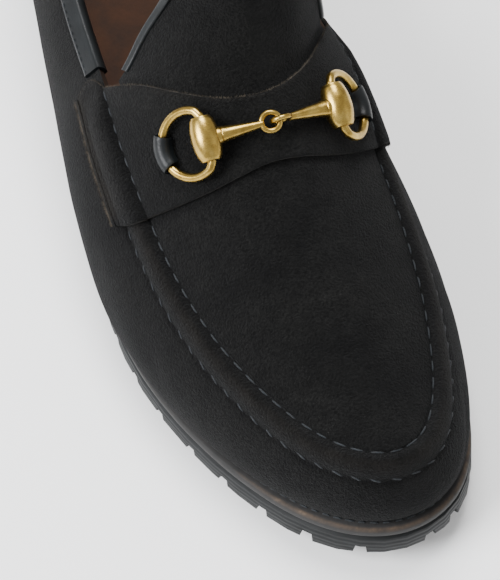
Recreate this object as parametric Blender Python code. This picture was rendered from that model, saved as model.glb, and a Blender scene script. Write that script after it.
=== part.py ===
"""A right-foot bit loafer in suede: an apron-front upper on a stitched midsole and a lugged rubber sole.

It stands on the floor with the toe toward +Y and the wearer's right, the outer side, toward +X.
Everything is worked out from the last: a feather line seen from above, side ribs that rise from it
to the topline or the apron seam, and an instep stretched between the two seams.
"""

import bisect
import functools
import math

import bmesh
import bpy
import numpy as np
from mathutils import Matrix, Vector

MM = 0.001

# The last
LAST_LENGTH = 287 * MM
BALL_WIDTH = 92 * MM
HEEL_RISE = 25 * MM
TOE_SPRING = 9.5 * MM
SEAM_HEIGHT = 54 * MM
INSTEP_CROWN = 30 * MM
CROWN_POWER = 2.1
CROWN_LEAN = 0.55

# The layers under the foot
GAP = 0.3 * MM
MIDSOLE_THICK = 3.0 * MM
OUTSOLE_THICK = 8.1 * MM
LUG_DEPTH = 3.5 * MM
INSOLE_THICK = 2.2 * MM
WELT_REACH = 4.9 * MM

# The upper
WALL_THICK = 2.0 * MM
RIDGE_WIDTH = 8.5 * MM
RIDGE_HEIGHT = 1.7 * MM
NOTCH = 0.505
THROAT = 0.516
COLLAR_END = 0.480
THROAT_BOW = 0.054

# The strap over the instep and the trims
SADDLE_THICK = 1.6 * MM
SADDLE_WING = 12 * MM
TONGUE_THICK = 2.2 * MM
TONGUE_LENGTH = 44 * MM
TONGUE_BOW = 0.04
TONGUE_MARGIN = 0.05, 0.015
COLLAR_GAP = 0.45 * MM
TONGUE_GAP = 0.75 * MM
BINDING_THICK = 0.8 * MM
COLLAR_LEG = 5.5 * MM
TONGUE_LEG = 2.2 * MM

# The metal bit
BIT_STATION = 0.592
BARREL_SIDES = 16
EYE_STEPS = 14
RING_BOW_STEPS = 16
BIT_ACROSS = 0.545
BARREL_LENGTH = 13.2 * MM
BARREL_RADIUS = 4.4 * MM
BARREL_END_RADIUS = 3.0 * MM
BARREL_REACH = 21.4 * MM
BAR_ROOT_RADIUS = 2.35 * MM
BAR_TIP_RADIUS = 1.05 * MM
EYE_RADIUS = 2.7 * MM
EYE_WIRE = 0.85 * MM
EYE_SPACING = 3.3 * MM
RING_RADIUS = 9.8 * MM
RING_WIRE = 1.35 * MM
RING_CHORD = 5.75 * MM
KEEPER_WIDTH = 10 * MM
KEEPER_THICK = 1.1 * MM

# The tread
NOTCH_PITCH = 15.5 * MM
NOTCH_WIDTH = 3.0 * MM
NOTCH_FLARE = 1.6 * MM
NOTCH_REACH = 13 * MM
CHANNEL_WIDTH = 3.2 * MM
HEEL_BREAST = 0.255
HEEL_TAPER = 1.2 * MM
HEEL_PLATE = 4.6 * MM
HEEL_EDGE = 8 * MM
HEEL_ROUND = 0.4 * MM

# Shares of the last's length; of the ball width
OUTLINE = (
    # station, centre, half width
    (0.00, 0.000, 0.000),
    (0.02, 0.000, 0.190),
    (0.06, 0.003, 0.293),
    (0.12, 0.007, 0.340),
    (0.20, 0.011, 0.354),
    (0.28, 0.022, 0.348),
    (0.36, 0.033, 0.339),
    (0.44, 0.033, 0.352),
    (0.50, 0.015, 0.395),
    (0.56, -0.013, 0.448),
    (0.62, -0.037, 0.485),
    (0.68, -0.054, 0.500),
    (0.74, -0.074, 0.491),
    (0.80, -0.100, 0.459),
    (0.86, -0.128, 0.402),
    (0.91, -0.152, 0.335),
    (0.95, -0.170, 0.261),
    (0.98, -0.183, 0.172),
    (1.00, -0.189, 0.000),
)
# Shares of the heel rise and of the toe spring
BOTTOM = (
    # station, heel, toe
    (0.00, 1.00, 0.00),
    (0.12, 0.99, 0.00),
    (0.20, 0.95, 0.00),
    (0.28, 0.84, 0.00),
    (0.36, 0.66, 0.00),
    (0.44, 0.42, 0.00),
    (0.50, 0.24, 0.00),
    (0.56, 0.10, 0.00),
    (0.62, 0.02, 0.00),
    (0.68, 0.00, 0.00),
    (0.74, 0.00, 0.00),
    (0.80, 0.00, 0.06),
    (0.86, 0.00, 0.22),
    (0.91, 0.00, 0.45),
    (0.95, 0.00, 0.70),
    (0.98, 0.00, 0.90),
    (1.00, 0.00, 1.00),
)
# The wall swells to a belly and leans in again to its rim: shares of the ball width, the belly's
# height a share of the rim's
WALL = (
    # station, belly outer, belly inner, belly height, rim in outer, rim in inner
    (0.00, 0.042, 0.042, 0.38, 0.033, 0.033),
    (0.10, 0.036, 0.036, 0.38, 0.038, 0.038),
    (0.22, 0.048, 0.048, 0.38, 0.050, 0.045),
    (0.32, 0.080, 0.084, 0.42, 0.045, -0.030),
    (0.42, 0.101, 0.100, 0.42, 0.048, -0.082),
    (0.53, 0.088, 0.082, 0.36, 0.092, -0.050),
    (0.64, 0.072, 0.062, 0.30, 0.133, 0.055),
    (0.73, 0.060, 0.048, 0.26, 0.137, 0.085),
    (0.83, 0.052, 0.040, 0.24, 0.122, 0.098),
    (0.915, 0.045, 0.037, 0.22, 0.109, 0.100),
    (1.00, 0.038, 0.038, 0.20, 0.100, 0.100),
)
# Height of the topline and the apron seam over the feather line, a share of the seam's height
RIM = (
    # station, height
    (0.00, 1.10),
    (0.08, 1.07),
    (0.20, 0.88),
    (0.30, 0.80),
    (0.39, 0.775),
    (0.45, 0.82),
    (0.505, 0.895),
    (0.56, 0.84),
    (0.64, 0.75),
    (0.73, 0.67),
    (0.83, 0.565),
    (0.915, 0.47),
    (1.00, 0.415),
)
# Height of the instep's crest over the two seams, a share of the crown
CROWN = (
    # station, height
    (0.42, 1.00),
    (0.53, 0.79),
    (0.64, 0.57),
    (0.73, 0.41),
    (0.83, 0.27),
    (0.915, 0.15),
    (0.97, 0.06),
    (1.00, 0.00),
)
# Reach of the midsole past the feather line, a share of the welt's reach at the toe
WELT = (
    # station, reach
    (0.00, 0.65),
    (0.12, 0.60),
    (0.30, 0.52),
    (0.44, 0.50),
    (0.56, 0.55),
    (0.68, 0.62),
    (0.80, 0.73),
    (0.91, 0.90),
    (1.00, 1.00),
)
# Height of the apron's ridge, a share of the whole
RIDGE = (
    # share of the ridge's width down from the seam, height
    (0.00, 0.00),
    (0.16, 0.62),
    (0.36, 1.00),
    (0.62, 0.88),
    (0.84, 0.42),
    (1.00, 0.00),
)
# The strap's edges, as stations; across runs from 0 at the outer seam to 1 at the inner one, and
# -1 and 2 are the ends of its wings on the walls
SADDLE = (
    # across, rear edge, front edge
    (-1.00, 0.497, 0.634),
    (0.00, 0.506, 0.652),
    (0.12, 0.519, 0.649),
    (0.25, 0.540, 0.644),
    (0.38, 0.557, 0.636),
    (0.50, 0.563, 0.630),
    (0.62, 0.560, 0.631),
    (0.75, 0.547, 0.636),
    (0.88, 0.526, 0.638),
    (1.00, 0.506, 0.636),
    (2.00, 0.497, 0.620),
)
# The tongue: how far along it, half width and droop to the sides as shares of its root's, slope in
# degrees, and its turn toward the inner side, a share of the ball width
TONGUE = (
    # along, half width, droop, slope, turn in
    (0.00, 1.00, 1.00, 40, 0.000),
    (0.12, 0.945, 0.93, 41, 0.020),
    (0.30, 0.84, 0.78, 50, 0.049),
    (0.50, 0.725, 0.62, 57, 0.075),
    (0.70, 0.66, 0.42, 61, 0.088),
    (0.84, 0.62, 0.31, 63, 0.090),
    (0.94, 0.54, 0.23, 64, 0.090),
    (1.00, 0.42, 0.15, 64, 0.090),
)

REAR_STEPS = 14
MIDDLE_STEPS = 7
TOE_STEPS = 13
MIDDLE_END = 0.66
ACROSS_STEPS = 12
OUTER, INNER = 1, -1


def turn(station):
    """The station as an angle, so that an outline turns smoothly round the heel and the toe."""
    return math.acos(1 - 2 * min(max(station, 0.0), 1.0))


def plain(place):
    return place


@functools.lru_cache(maxsize=None)
def curve_of(rows, column, angle, odd):
    """A table's column as knots, values and slopes. Past both ends it mirrors, an odd column with
    its sign changed."""
    knots = [angle(row[0]) for row in rows]
    values = [row[column] for row in rows]
    sign = -1 if odd else 1
    if angle is turn and rows[0][0] == 0:
        knots = [-knots[1]] + knots
        values = [sign * values[1]] + values
    if angle is turn and rows[-1][0] == 1:
        knots = knots + [2 * math.pi - knots[-2]]
        values = values + [sign * values[-2]]
    return knots, values, [float(slope) for slope in np.gradient(values, knots)]


def smooth(rows, column, place, angle=turn, odd=False):
    """A table's value between its rows."""
    knots, values, slopes = curve_of(rows, column, angle, odd)
    at = min(max(angle(place), knots[0]), knots[-1])
    i = min(max(bisect.bisect_right(knots, at) - 1, 0), len(knots) - 2)
    step = knots[i + 1] - knots[i]
    u = (at - knots[i]) / step
    return (
        values[i] * (1 + 2 * u) * (1 - u) ** 2
        + slopes[i] * step * u * (1 - u) ** 2
        + values[i + 1] * u**2 * (3 - 2 * u)
        + slopes[i + 1] * step * u**2 * (u - 1)
    )


def feather(side, station):
    """Point of the feather line, seen from above."""
    centre = smooth(OUTLINE, 1, station) * BALL_WIDTH
    half = smooth(OUTLINE, 2, station, odd=True) * BALL_WIDTH
    return Vector((centre + side * half, station * LAST_LENGTH, 0))


def outward(side, station):
    """The outline's outward direction, seen from above."""
    step = 0.01
    ends = []
    for angle in (turn(station) - step, turn(station) + step):
        over = -1 if angle < 0 or angle > math.pi else 1
        ends.append(feather(side * over, (1 - math.cos(angle)) / 2))
    along = ends[1] - ends[0]
    return (Vector((along.y, -along.x, 0)) * side).normalized()


def seat(station):
    """Height of the feather line over the floor."""
    return (
        MIDSOLE_THICK
        + OUTSOLE_THICK
        + 2 * GAP
        + max(smooth(BOTTOM, 1, station), 0) * HEEL_RISE
        + max(smooth(BOTTOM, 2, station), 0) * TOE_SPRING
    )


def rib(side, station, share):
    """Point of the side wall: share 0 is the feather line and 1 the rim."""
    belly = smooth(WALL, 1 if side == OUTER else 2, station) * BALL_WIDTH
    rim_in = smooth(WALL, 4 if side == OUTER else 5, station) * BALL_WIDTH
    top = smooth(RIM, 1, station) * SEAM_HEIGHT
    belly_height = smooth(WALL, 3, station) * top
    height = share * top
    if height < belly_height:
        out = belly * (1 - (1 - height / belly_height) ** 2)
    else:
        out = belly - (belly + rim_in) * ((height - belly_height) / (top - belly_height)) ** 2
    point = feather(side, station) + outward(side, station) * out
    point.z = seat(station) + height
    return point


def rib_normal(side, station, share):
    """The wall's outward normal in the upright plane across it."""
    low = rib(side, station, max(share - 0.01, 0))
    high = rib(side, station, share + 0.01)
    away = outward(side, station)
    rise = high.z - low.z
    lean = (high - low).dot(away)
    return (away * rise - Vector((0, 0, lean))).normalized()


def share_below_rim(side, station, distance):
    """Where on the rib a distance measured down the wall from its rim ends."""
    step = 0.01
    share = 1.0
    last = rib(side, station, share)
    while distance > 0 and share > step:
        below = rib(side, station, share - step)
        length = (below - last).length
        if length >= distance:
            return share - step * distance / length
        distance -= length
        share -= step
        last = below
    return share


def ridge(distance):
    """How far the apron's ridge stands out at this distance down from the seam."""
    if distance >= RIDGE_WIDTH:
        return 0.0
    return RIDGE_HEIGHT * smooth(RIDGE, 1, distance / RIDGE_WIDTH, angle=plain)


def ridge_fade(station):
    """The ridge starts under the strap."""
    return min(max((station - NOTCH) / 0.03, 0.0), 1.0)


def wall(side, station, distance):
    """Outside of the wall at a distance down from the seam, with the ridge on it."""
    share = share_below_rim(side, station, distance)
    lift = ridge(distance) * ridge_fade(station)
    return rib(side, station, share) + rib_normal(side, station, share) * lift


def instep(station, across):
    """Point of the vamp between the outer seam at 0 and the inner seam at 1."""
    left = rib(OUTER, station, 1)
    right = rib(INNER, station, 1)
    swell = (
        smooth(CROWN, 1, station)
        * INSTEP_CROWN
        * (1 - abs(2 * across - 1) ** CROWN_POWER)
    )
    return left.lerp(right, across) + Vector((0, CROWN_LEAN * swell, swell))


def across_steps(count):
    """Shares across the vamp, closer together near the seams where it is steeper."""
    return [(1 - math.cos(math.pi * k / count)) / 2 * 0.45 + 0.55 * k / count for k in range(count + 1)]


def spread(first, last, steps):
    return [first + (last - first) * k / steps for k in range(steps + 1)]


def station_steps():
    """Stations from the heel to the toe: even in angle at both ends, and even across the strap."""
    rear = [(1 - math.cos(a)) / 2 for a in spread(0, turn(COLLAR_END), REAR_STEPS - 1)] + [THROAT]
    middle = spread(THROAT, MIDDLE_END, MIDDLE_STEPS)
    front = [(1 - math.cos(a)) / 2 for a in spread(turn(MIDDLE_END), math.pi, TOE_STEPS)]
    return rear[:-1] + middle[:-1] + front[:-1] + [1.0]


STATIONS = station_steps()
THROAT_INDEX = REAR_STEPS


def rounds():
    """Side and station of each column round the outline, from the heel by the outer side and back."""
    out = [(OUTER, station) for station in STATIONS]
    back = [(INNER, station) for station in reversed(STATIONS)]
    return out + back[1:]


def sheet(mesh, points):
    """A grid of faces whose corners are moved to these points, given row by row."""
    rows = len(points)
    columns = len(points[0])
    made = bmesh.ops.create_grid(mesh, x_segments=columns - 1, y_segments=rows - 1, size=1)["verts"]
    made.sort(key=lambda corner: (round(corner.co.y, 5), round(corner.co.x, 5)))
    flat = [point for row in points for point in row]
    for corner, point in zip(made, flat):
        corner.co = point


def solid(name, sheets, material, seams_smooth=True):
    """One closed body from sheets whose edges meet."""
    mesh = bmesh.new()
    for points in sheets:
        sheet(mesh, points)
    bmesh.ops.remove_doubles(mesh, verts=mesh.verts, dist=0.002 * MM)
    bmesh.ops.dissolve_degenerate(mesh, edges=mesh.edges, dist=0.001 * MM)
    return finish(name, mesh, material, seams_smooth)


def finish(name, mesh, material, rounded=True):
    bmesh.ops.recalc_face_normals(mesh, faces=mesh.faces)
    for face in mesh.faces:
        face.smooth = rounded
    data = bpy.data.meshes.new(name)
    mesh.to_mesh(data)
    mesh.free()
    data.materials.append(material)
    made = bpy.data.objects.new(name, data)
    PARTS.objects.link(made)
    return made


def grid_normals(points):
    """Unit normals of a grid of points, worked out from its neighbours."""
    grid = np.array([[tuple(point) for point in row] for row in points])
    along = np.gradient(grid, axis=1)
    down = np.gradient(grid, axis=0)
    normals = np.cross(along, down)
    lengths = np.linalg.norm(normals, axis=2, keepdims=True)
    return normals / np.where(lengths < 1e-12, 1, lengths)


def moved(points, normals, distance):
    return [
        [Vector(point) + Vector(normal) * distance for point, normal in zip(row, directions)]
        for row, directions in zip(points, normals)
    ]


def material(name, colour, roughness, metallic=0.0):
    made = bpy.data.materials.new(name)
    made.use_nodes = True
    shader = made.node_tree.nodes["Principled BSDF"]
    shader.inputs["Base Color"].default_value = (*colour, 1)
    shader.inputs["Roughness"].default_value = roughness
    shader.inputs["Metallic"].default_value = metallic
    made.diffuse_color = (*colour, 1)
    return made


LOW_SHARES = (0.0, 0.1, 0.25, 0.42, 0.6, 0.8)
RIDGE_ROWS = (1.0, 0.84, 0.62, 0.36, 0.16, 0.0)
INNER_SHARES = (0.0, 0.16, 0.4, 0.7)


def wall_column(side, station):
    """Outside of the wall from the feather line up to the rim."""
    foot = share_below_rim(side, station, RIDGE_WIDTH)
    points = [rib(side, station, share * foot) for share in LOW_SHARES]
    return points + [wall(side, station, row * RIDGE_WIDTH) for row in RIDGE_ROWS]


def lining_column(side, station):
    """Inside of the wall, a wall's thickness in from the plain rib."""
    foot = share_below_rim(side, station, RIDGE_WIDTH)
    shares = [share * foot for share in INNER_SHARES] + [foot, (1 + foot) / 2, 1]
    return [
        rib(side, station, share) - rib_normal(side, station, share) * WALL_THICK
        for share in shares
    ]


def throat_station(station, across, index):
    """The vamp's rows bow forward at the throat, under the strap, and straighten toward the toe."""
    fade = max(1 - index / MIDDLE_STEPS, 0)
    return station + THROAT_BOW * fade * (1 - (2 * across - 1) ** 2)


def vamp_rows():
    shares = across_steps(ACROSS_STEPS)
    rows = []
    for index, station in enumerate(STATIONS[THROAT_INDEX:]):
        rows.append([instep(throat_station(station, share, index), share) for share in shares])
    return rows


def make_upper():
    columns = [wall_column(side, station) for side, station in rounds()]
    linings = [lining_column(side, station) for side, station in rounds()]
    vamp = vamp_rows()
    normals = grid_normals(vamp)
    if normals[2][len(normals[2]) // 2][2] < 0:
        normals = -normals
    inside = moved(vamp, normals, -WALL_THICK)
    count = len(STATIONS)
    for index in range(len(vamp)):
        outer_column = THROAT_INDEX + index
        inner_column = 2 * (count - 1) - outer_column
        inside[index][0] = linings[outer_column][-1]
        inside[index][-1] = linings[inner_column][-1]
    tip = linings[count - 1][-1]
    inside[-1] = [tip for _ in inside[-1]]
    rear = columns[: THROAT_INDEX + 1]
    rear_lining = linings[: THROAT_INDEX + 1]
    far = columns[2 * (count - 1) - THROAT_INDEX :]
    far_lining = linings[2 * (count - 1) - THROAT_INDEX :]
    sheets = [
        columns,
        linings,
        vamp,
        inside,
        [[column[0] for column in columns], [column[0] for column in linings]],
        [[column[-1] for column in rear], [column[-1] for column in rear_lining]],
        [[column[-1] for column in far], [column[-1] for column in far_lining]],
        [vamp[0], inside[0]],
    ]
    return solid("upper", sheets, SUEDE)


def tilt(station):
    """Slope of the feather line where it rises to the toe."""
    if station < 0.74:
        return 0.0
    low = max(station - 0.01, 0.74)
    high = min(station + 0.01, 1.0)
    return (seat(high) - seat(low)) / ((high - low) * LAST_LENGTH)


def edge(side, station, reach, depth):
    """Point of a sole layer's edge: this far past the welt's line, this far under the feather line."""
    out = smooth(WELT, 1, station) * WELT_REACH + reach
    point = feather(side, station) + outward(side, station) * out
    point.z = seat(station) - depth
    point.y += depth * tilt(station)
    return point


def plate(name, rings, shade, stations=STATIONS):
    """A layer whose side runs down through rings, each a function of side and station."""
    loops = []
    for ring in rings:
        out = [ring(OUTER, station) for station in stations]
        back = [ring(INNER, station) for station in reversed(stations)]
        loops.append((out, back))
    sheets = [[out + back for out, back in loops]]
    for out, back in (loops[0], loops[-1]):
        sheets.append([out, list(reversed(back))])
    sheets.append([[back[-1], out[0]] for out, back in loops])
    return solid(name, sheets, shade)


def outsole_thick(station):
    """Full thickness with its lugs in front, a plain plate from the waist back."""
    blend = min(max((station - 0.47) / 0.07, 0.0), 1.0)
    blend = blend * blend * (3 - 2 * blend)
    return HEEL_PLATE + (OUTSOLE_THICK - HEEL_PLATE) * blend


def layer(reach, top, drop):
    """Ring of a layer at a fixed depth under its own top."""
    return lambda side, station: edge(side, station, reach, top + drop)


MIDSOLE_TOP = GAP
OUTSOLE_TOP = MIDSOLE_TOP + MIDSOLE_THICK + GAP


def make_midsole():
    rings = [
        layer(-0.7 * MM, MIDSOLE_TOP, 0),
        layer(0, MIDSOLE_TOP, 0.7 * MM),
        layer(0, MIDSOLE_TOP, MIDSOLE_THICK - 0.5 * MM),
        layer(-0.5 * MM, MIDSOLE_TOP, MIDSOLE_THICK),
    ]
    return plate("midsole", rings, EDGE)


def outsole_ring(reach, share, lift=0.0):
    def ring(side, station):
        return edge(side, station, reach, OUTSOLE_TOP + outsole_thick(station) * share - lift)

    return ring


def tread(point, lift):
    """The point at this height over the tread under it."""
    station = min(max(point.y / LAST_LENGTH, 0.0), 1.0)
    for _ in range(3):
        depth = OUTSOLE_TOP + outsole_thick(station)
        station = min(max((point.y - depth * tilt(station)) / LAST_LENGTH, 0.0), 1.0)
    depth = OUTSOLE_TOP + outsole_thick(station)
    return Vector((point.x, point.y, seat(station) - depth + lift))


def floor_level(point, lift):
    return Vector((point.x, point.y, lift))


def inset(side, station, distance):
    out = smooth(WELT, 1, station) * WELT_REACH - distance
    return feather(side, station) + outward(side, station) * out


def round_the_edge(first, stop, forward):
    """Points, directions and outward directions every notch pitch along the sole's edge."""
    steps = spread(first, stop, 160)
    path = [(OUTER, station) for station in steps]
    path += [(INNER, station) for station in reversed(steps)]
    if not forward:
        path = path[::-1]
    places = []
    walked = 0.0
    last = inset(*path[0], 0)
    due = NOTCH_PITCH / 2
    for side, station in path[1:]:
        here = inset(side, station, 0)
        walked += (here - last).length
        last = here
        if walked >= due:
            places.append((side, station))
            due += NOTCH_PITCH
    return places


def notch_block(mesh, point, away, level):
    """A tapered block that cuts one notch between two lugs."""
    along = Vector((-away.y, away.x, 0))
    corners = []
    for out in (2.5 * MM, -NOTCH_REACH):
        for lift, width in (
            (-1 * MM, NOTCH_WIDTH + NOTCH_FLARE),
            (LUG_DEPTH, NOTCH_WIDTH),
        ):
            for half in (-width / 2, width / 2):
                corners.append(level(point + away * out + along * half, lift))
    block(mesh, corners)


def block(mesh, corners):
    """A block with its eight corners moved to these points: near and far, low and high, left and right."""
    made = bmesh.ops.create_cube(mesh, size=2)["verts"]
    order = {(1, -1, -1): 0, (1, -1, 1): 2, (1, 1, -1): 1, (1, 1, 1): 3}
    for corner in made:
        x, y, z = (round(value) for value in corner.co)
        index = order[(1, y, z)]
        corner.co = corners[index if x > 0 else index + 4]


def channel(mesh, outer, inner, level, deep):
    """A closed groove between two loops."""
    loops = []
    for line, lift in ((outer, -1 * MM), (outer, deep), (inner, deep), (inner, -1 * MM)):
        loops.append([level(point, lift) for point in line + line[:1]])
    sheet(mesh, loops + loops[:1])


def cutter(name, mesh):
    bmesh.ops.remove_doubles(mesh, verts=mesh.verts, dist=0.002 * MM)
    bmesh.ops.recalc_face_normals(mesh, faces=mesh.faces)
    data = bpy.data.meshes.new(name)
    mesh.to_mesh(data)
    mesh.free()
    made = bpy.data.objects.new(name, data)
    made.hide_render = True
    made.display_type = "WIRE"
    CUTTERS.objects.link(made)
    return made


def cut(target, tool, operation="DIFFERENCE"):
    """Applies a Boolean at once, so that later steps work on the result."""
    step = target.modifiers.new(tool.name, "BOOLEAN")
    step.operation = operation
    step.solver = "EXACT"
    step.use_self = True
    step.object = tool
    bpy.context.view_layer.update()
    graph = bpy.context.evaluated_depsgraph_get()
    data = bpy.data.meshes.new_from_object(target.evaluated_get(graph))
    target.modifiers.clear()
    old = target.data
    target.data = data
    bpy.data.meshes.remove(old)
    data.name = target.name


def loop_at(distance, first, last, steps):
    stations = [(1 - math.cos(a)) / 2 for a in spread(turn(first), turn(last), steps)]
    out = [inset(OUTER, station, distance) for station in stations]
    back = [inset(INNER, station, distance) for station in reversed(stations)]
    return out + back


def make_outsole():
    rings = [
        outsole_ring(-0.8 * MM, 0),
        outsole_ring(-0.8 * MM, 0, -0.8 * MM),
        outsole_ring(0.1 * MM, 0, -1.1 * MM),
        outsole_ring(0.4 * MM, 0.5),
        outsole_ring(0.4 * MM, 1, 0.8 * MM),
        outsole_ring(-0.2 * MM, 1),
    ]
    made = plate("outsole", rings, RUBBER)
    mesh = bmesh.new()
    for side, station in round_the_edge(0.545, 1.0, True):
        notch_block(mesh, inset(side, station, 0), outward(side, station), tread)
    cut(made, cutter("toe_notches", mesh))
    mesh = bmesh.new()
    half = CHANNEL_WIDTH / 2
    outer = loop_at(NOTCH_REACH - half, 0.565, 0.995, 22)
    inner = loop_at(NOTCH_REACH + half, 0.578, 0.985, 22)
    channel(mesh, outer, inner, tread, LUG_DEPTH)
    cut(made, cutter("toe_channel", mesh))
    mesh = bmesh.new()
    place = 0.578 * LAST_LENGTH + NOTCH_PITCH
    while place < 0.93 * LAST_LENGTH:
        corners = []
        station = place / LAST_LENGTH
        for side in (OUTER, INNER):
            end = inset(side, station, NOTCH_REACH)
            for lift in (-1 * MM, LUG_DEPTH):
                for shift in (-NOTCH_WIDTH / 2, NOTCH_WIDTH / 2):
                    corners.append(tread(end + Vector((0, shift, 0)), lift))
        block(mesh, corners)
        place += NOTCH_PITCH
    cut(made, cutter("cross_channels", mesh))
    return made


def heel_top(side, station, reach):
    depth = OUTSOLE_TOP + outsole_thick(station) + GAP
    return edge(side, station, reach, depth)


def make_heel():
    stations = [station for station in STATIONS if station < HEEL_BREAST - 0.02] + [HEEL_BREAST]

    def low(height, taper):
        def ring(side, station):
            return floor_level(heel_top(side, station, taper), height)

        return ring

    rings = [
        lambda side, station: heel_top(side, station, -0.3 * MM),
        low(HEEL_EDGE, -0.7 * HEEL_TAPER),
        low(HEEL_EDGE - HEEL_ROUND, -0.7 * HEEL_TAPER + HEEL_ROUND),
        low(0.8 * MM, -HEEL_TAPER + HEEL_ROUND),
        low(0, -HEEL_TAPER - 0.2 * MM),
    ]
    made = plate("heel", rings, RUBBER, stations)
    mesh = bmesh.new()
    for side, station in round_the_edge(0.0, HEEL_BREAST - 0.02, False):
        point = inset(side, station, HEEL_TAPER)
        notch_block(mesh, point, outward(side, station), floor_level)
    cut(made, cutter("heel_notches", mesh))
    mesh = bmesh.new()
    half = CHANNEL_WIDTH / 2
    outer = loop_at(NOTCH_REACH + HEEL_TAPER - half, 0.004, HEEL_BREAST - 0.045, 16)
    inner = loop_at(NOTCH_REACH + HEEL_TAPER + half, 0.014, HEEL_BREAST - 0.057, 16)
    channel(mesh, outer, inner, floor_level, LUG_DEPTH)
    cut(made, cutter("heel_channel", mesh))
    return made


def make_insole():
    """Lies inside the wall, on the midsole."""
    side_gap = 1.35 * WALL_THICK + 2 * GAP

    def ring(lift, reach):
        def at(side, station):
            share = max(lift, 0) / (smooth(RIM, 1, station) * SEAM_HEIGHT)
            point = rib(side, station, share) - outward(side, station) * (side_gap + reach)
            point.z = seat(station) + lift
            return point

        return at

    rings = [
        ring(INSOLE_THICK, 0.5 * MM),
        ring(INSOLE_THICK - 0.5 * MM, 0),
        ring(GAP / 3, 0),
    ]
    return plate("insole", rings, SOCK)


def strap_places():
    """Places across the strap: down the outer wing, over the vamp and down the inner wing."""
    wing = [row * RIDGE_WIDTH / SADDLE_WING for row in RIDGE_ROWS[:-1]]
    wing = [1.0, 0.84] + wing
    outer = [-place for place in wing]
    inner = [1 + place for place in reversed(wing)]
    return outer + across_steps(ACROSS_STEPS) + inner


def cover(station, place):
    """Outside of the upper at a place across the strap."""
    if place < 0:
        return wall(OUTER, station, -place * SADDLE_WING)
    if place > 1:
        return wall(INNER, station, (place - 1) * SADDLE_WING)
    return instep(station, place)


def softened(normals, times):
    """Normals evened out across the strap, so that its thickness holds over the ridge."""
    for _ in range(times):
        before = np.concatenate([normals[:1], normals[:-1]])
        after = np.concatenate([normals[1:], normals[-1:]])
        normals = before + 2 * normals + after
        normals = normals / np.linalg.norm(normals, axis=2, keepdims=True)
    return normals


def shell(name, points, low, high, shade, soften=0):
    """A closed skin between two offsets of a grid of points."""
    normals = grid_normals(points)
    if soften:
        normals = softened(normals, soften)
    middle = normals[len(points) // 2][len(points[0]) // 2]
    if middle[2] < 0:
        normals = -normals
    top = moved(points, normals, high)
    bottom = moved(points, normals, low)
    return solid(name, closed_sheets(top, bottom), shade)


def closed_sheets(top, bottom):
    left = [[row[0] for row in top], [row[0] for row in bottom]]
    right = [[row[-1] for row in top], [row[-1] for row in bottom]]
    return [top, bottom, left, right, [top[0], bottom[0]], [top[-1], bottom[-1]]]


STRAP_GAP = 0.4 * MM
STRAP_STEPS = 8


def make_saddle():
    rows = []
    for place in strap_places():
        rear = smooth(SADDLE, 1, place, angle=plain)
        front = smooth(SADDLE, 2, place, angle=plain)
        rows.append([cover(station, place) for station in spread(rear, front, STRAP_STEPS)])
    return shell("saddle", rows, STRAP_GAP, STRAP_GAP + SADDLE_THICK, SUEDE, soften=3)


TONGUE_ROOT_ROWS = (0.0, 0.5)
TONGUE_ROWS = (0.0, 0.07, 0.15, 0.25, 0.36, 0.47, 0.58, 0.68, 0.77, 0.85, 0.91, 0.96, 1.0)
TONGUE_STEPS = 10


def tongue_line(length):
    """How far the tongue's middle has come: it leaves the vamp and stands up more and more steeply."""
    steps = 16
    point = Vector((0, 0, 0))
    for k in range(steps):
        share = (k + 0.5) / steps * length / TONGUE_LENGTH
        slope = math.radians(smooth(TONGUE, 3, share, angle=plain))
        point += Vector((0, -math.cos(slope), math.sin(slope))) * (length / steps)
    return point


def droop_direction(slope):
    return Vector((0, math.sin(slope), math.cos(slope)))


def tongue_root(across, share):
    """On the vamp's own surface, from the throat at 0 to just behind the strap at 1."""
    front = throat_station(THROAT, across, 0) - 1.5 * GAP / LAST_LENGTH
    rear = smooth(SADDLE, 1, across, angle=plain) - 0.006
    return instep(front + (rear - front) * share, across)


def make_tongue_grid():
    outer, inner = TONGUE_MARGIN
    shares = [outer + (1 - outer - inner) * share for share in across_steps(TONGUE_STEPS)]
    crest = tongue_root(0.5, 1)
    depth = smooth(CROWN, 1, 0.53) * INSTEP_CROWN * math.hypot(1, CROWN_LEAN)
    root_slope = math.atan(CROWN_LEAN)
    rows = [[tongue_root(across, share) for across in shares] for share in TONGUE_ROOT_ROWS]
    for along in TONGUE_ROWS:
        width = smooth(TONGUE, 1, along, angle=plain)
        droop = smooth(TONGUE, 2, along, angle=plain)
        slope = math.radians(smooth(TONGUE, 3, along, angle=plain))
        lean = root_slope + (slope - math.radians(TONGUE[0][3]))
        turned_in = Vector((smooth(TONGUE, 4, along, angle=plain) * BALL_WIDTH, 0, 0))
        held = 1 - along
        row = []
        for across in shares:
            root = tongue_root(across, 1)
            aside = Vector((root.x - crest.x, 0, 0))
            fall = depth * abs(2 * across - 1) ** CROWN_POWER
            arch = crest + aside - droop_direction(root_slope) * fall
            travel = along * TONGUE_LENGTH * (1 - TONGUE_BOW * (2 * across - 1) ** 2)
            point = crest + tongue_line(travel) + aside * width - turned_in
            point += (root - arch) * held - droop_direction(lean) * droop * fall
            row.append(point)
        rows.append(row)
    return rows


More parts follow.
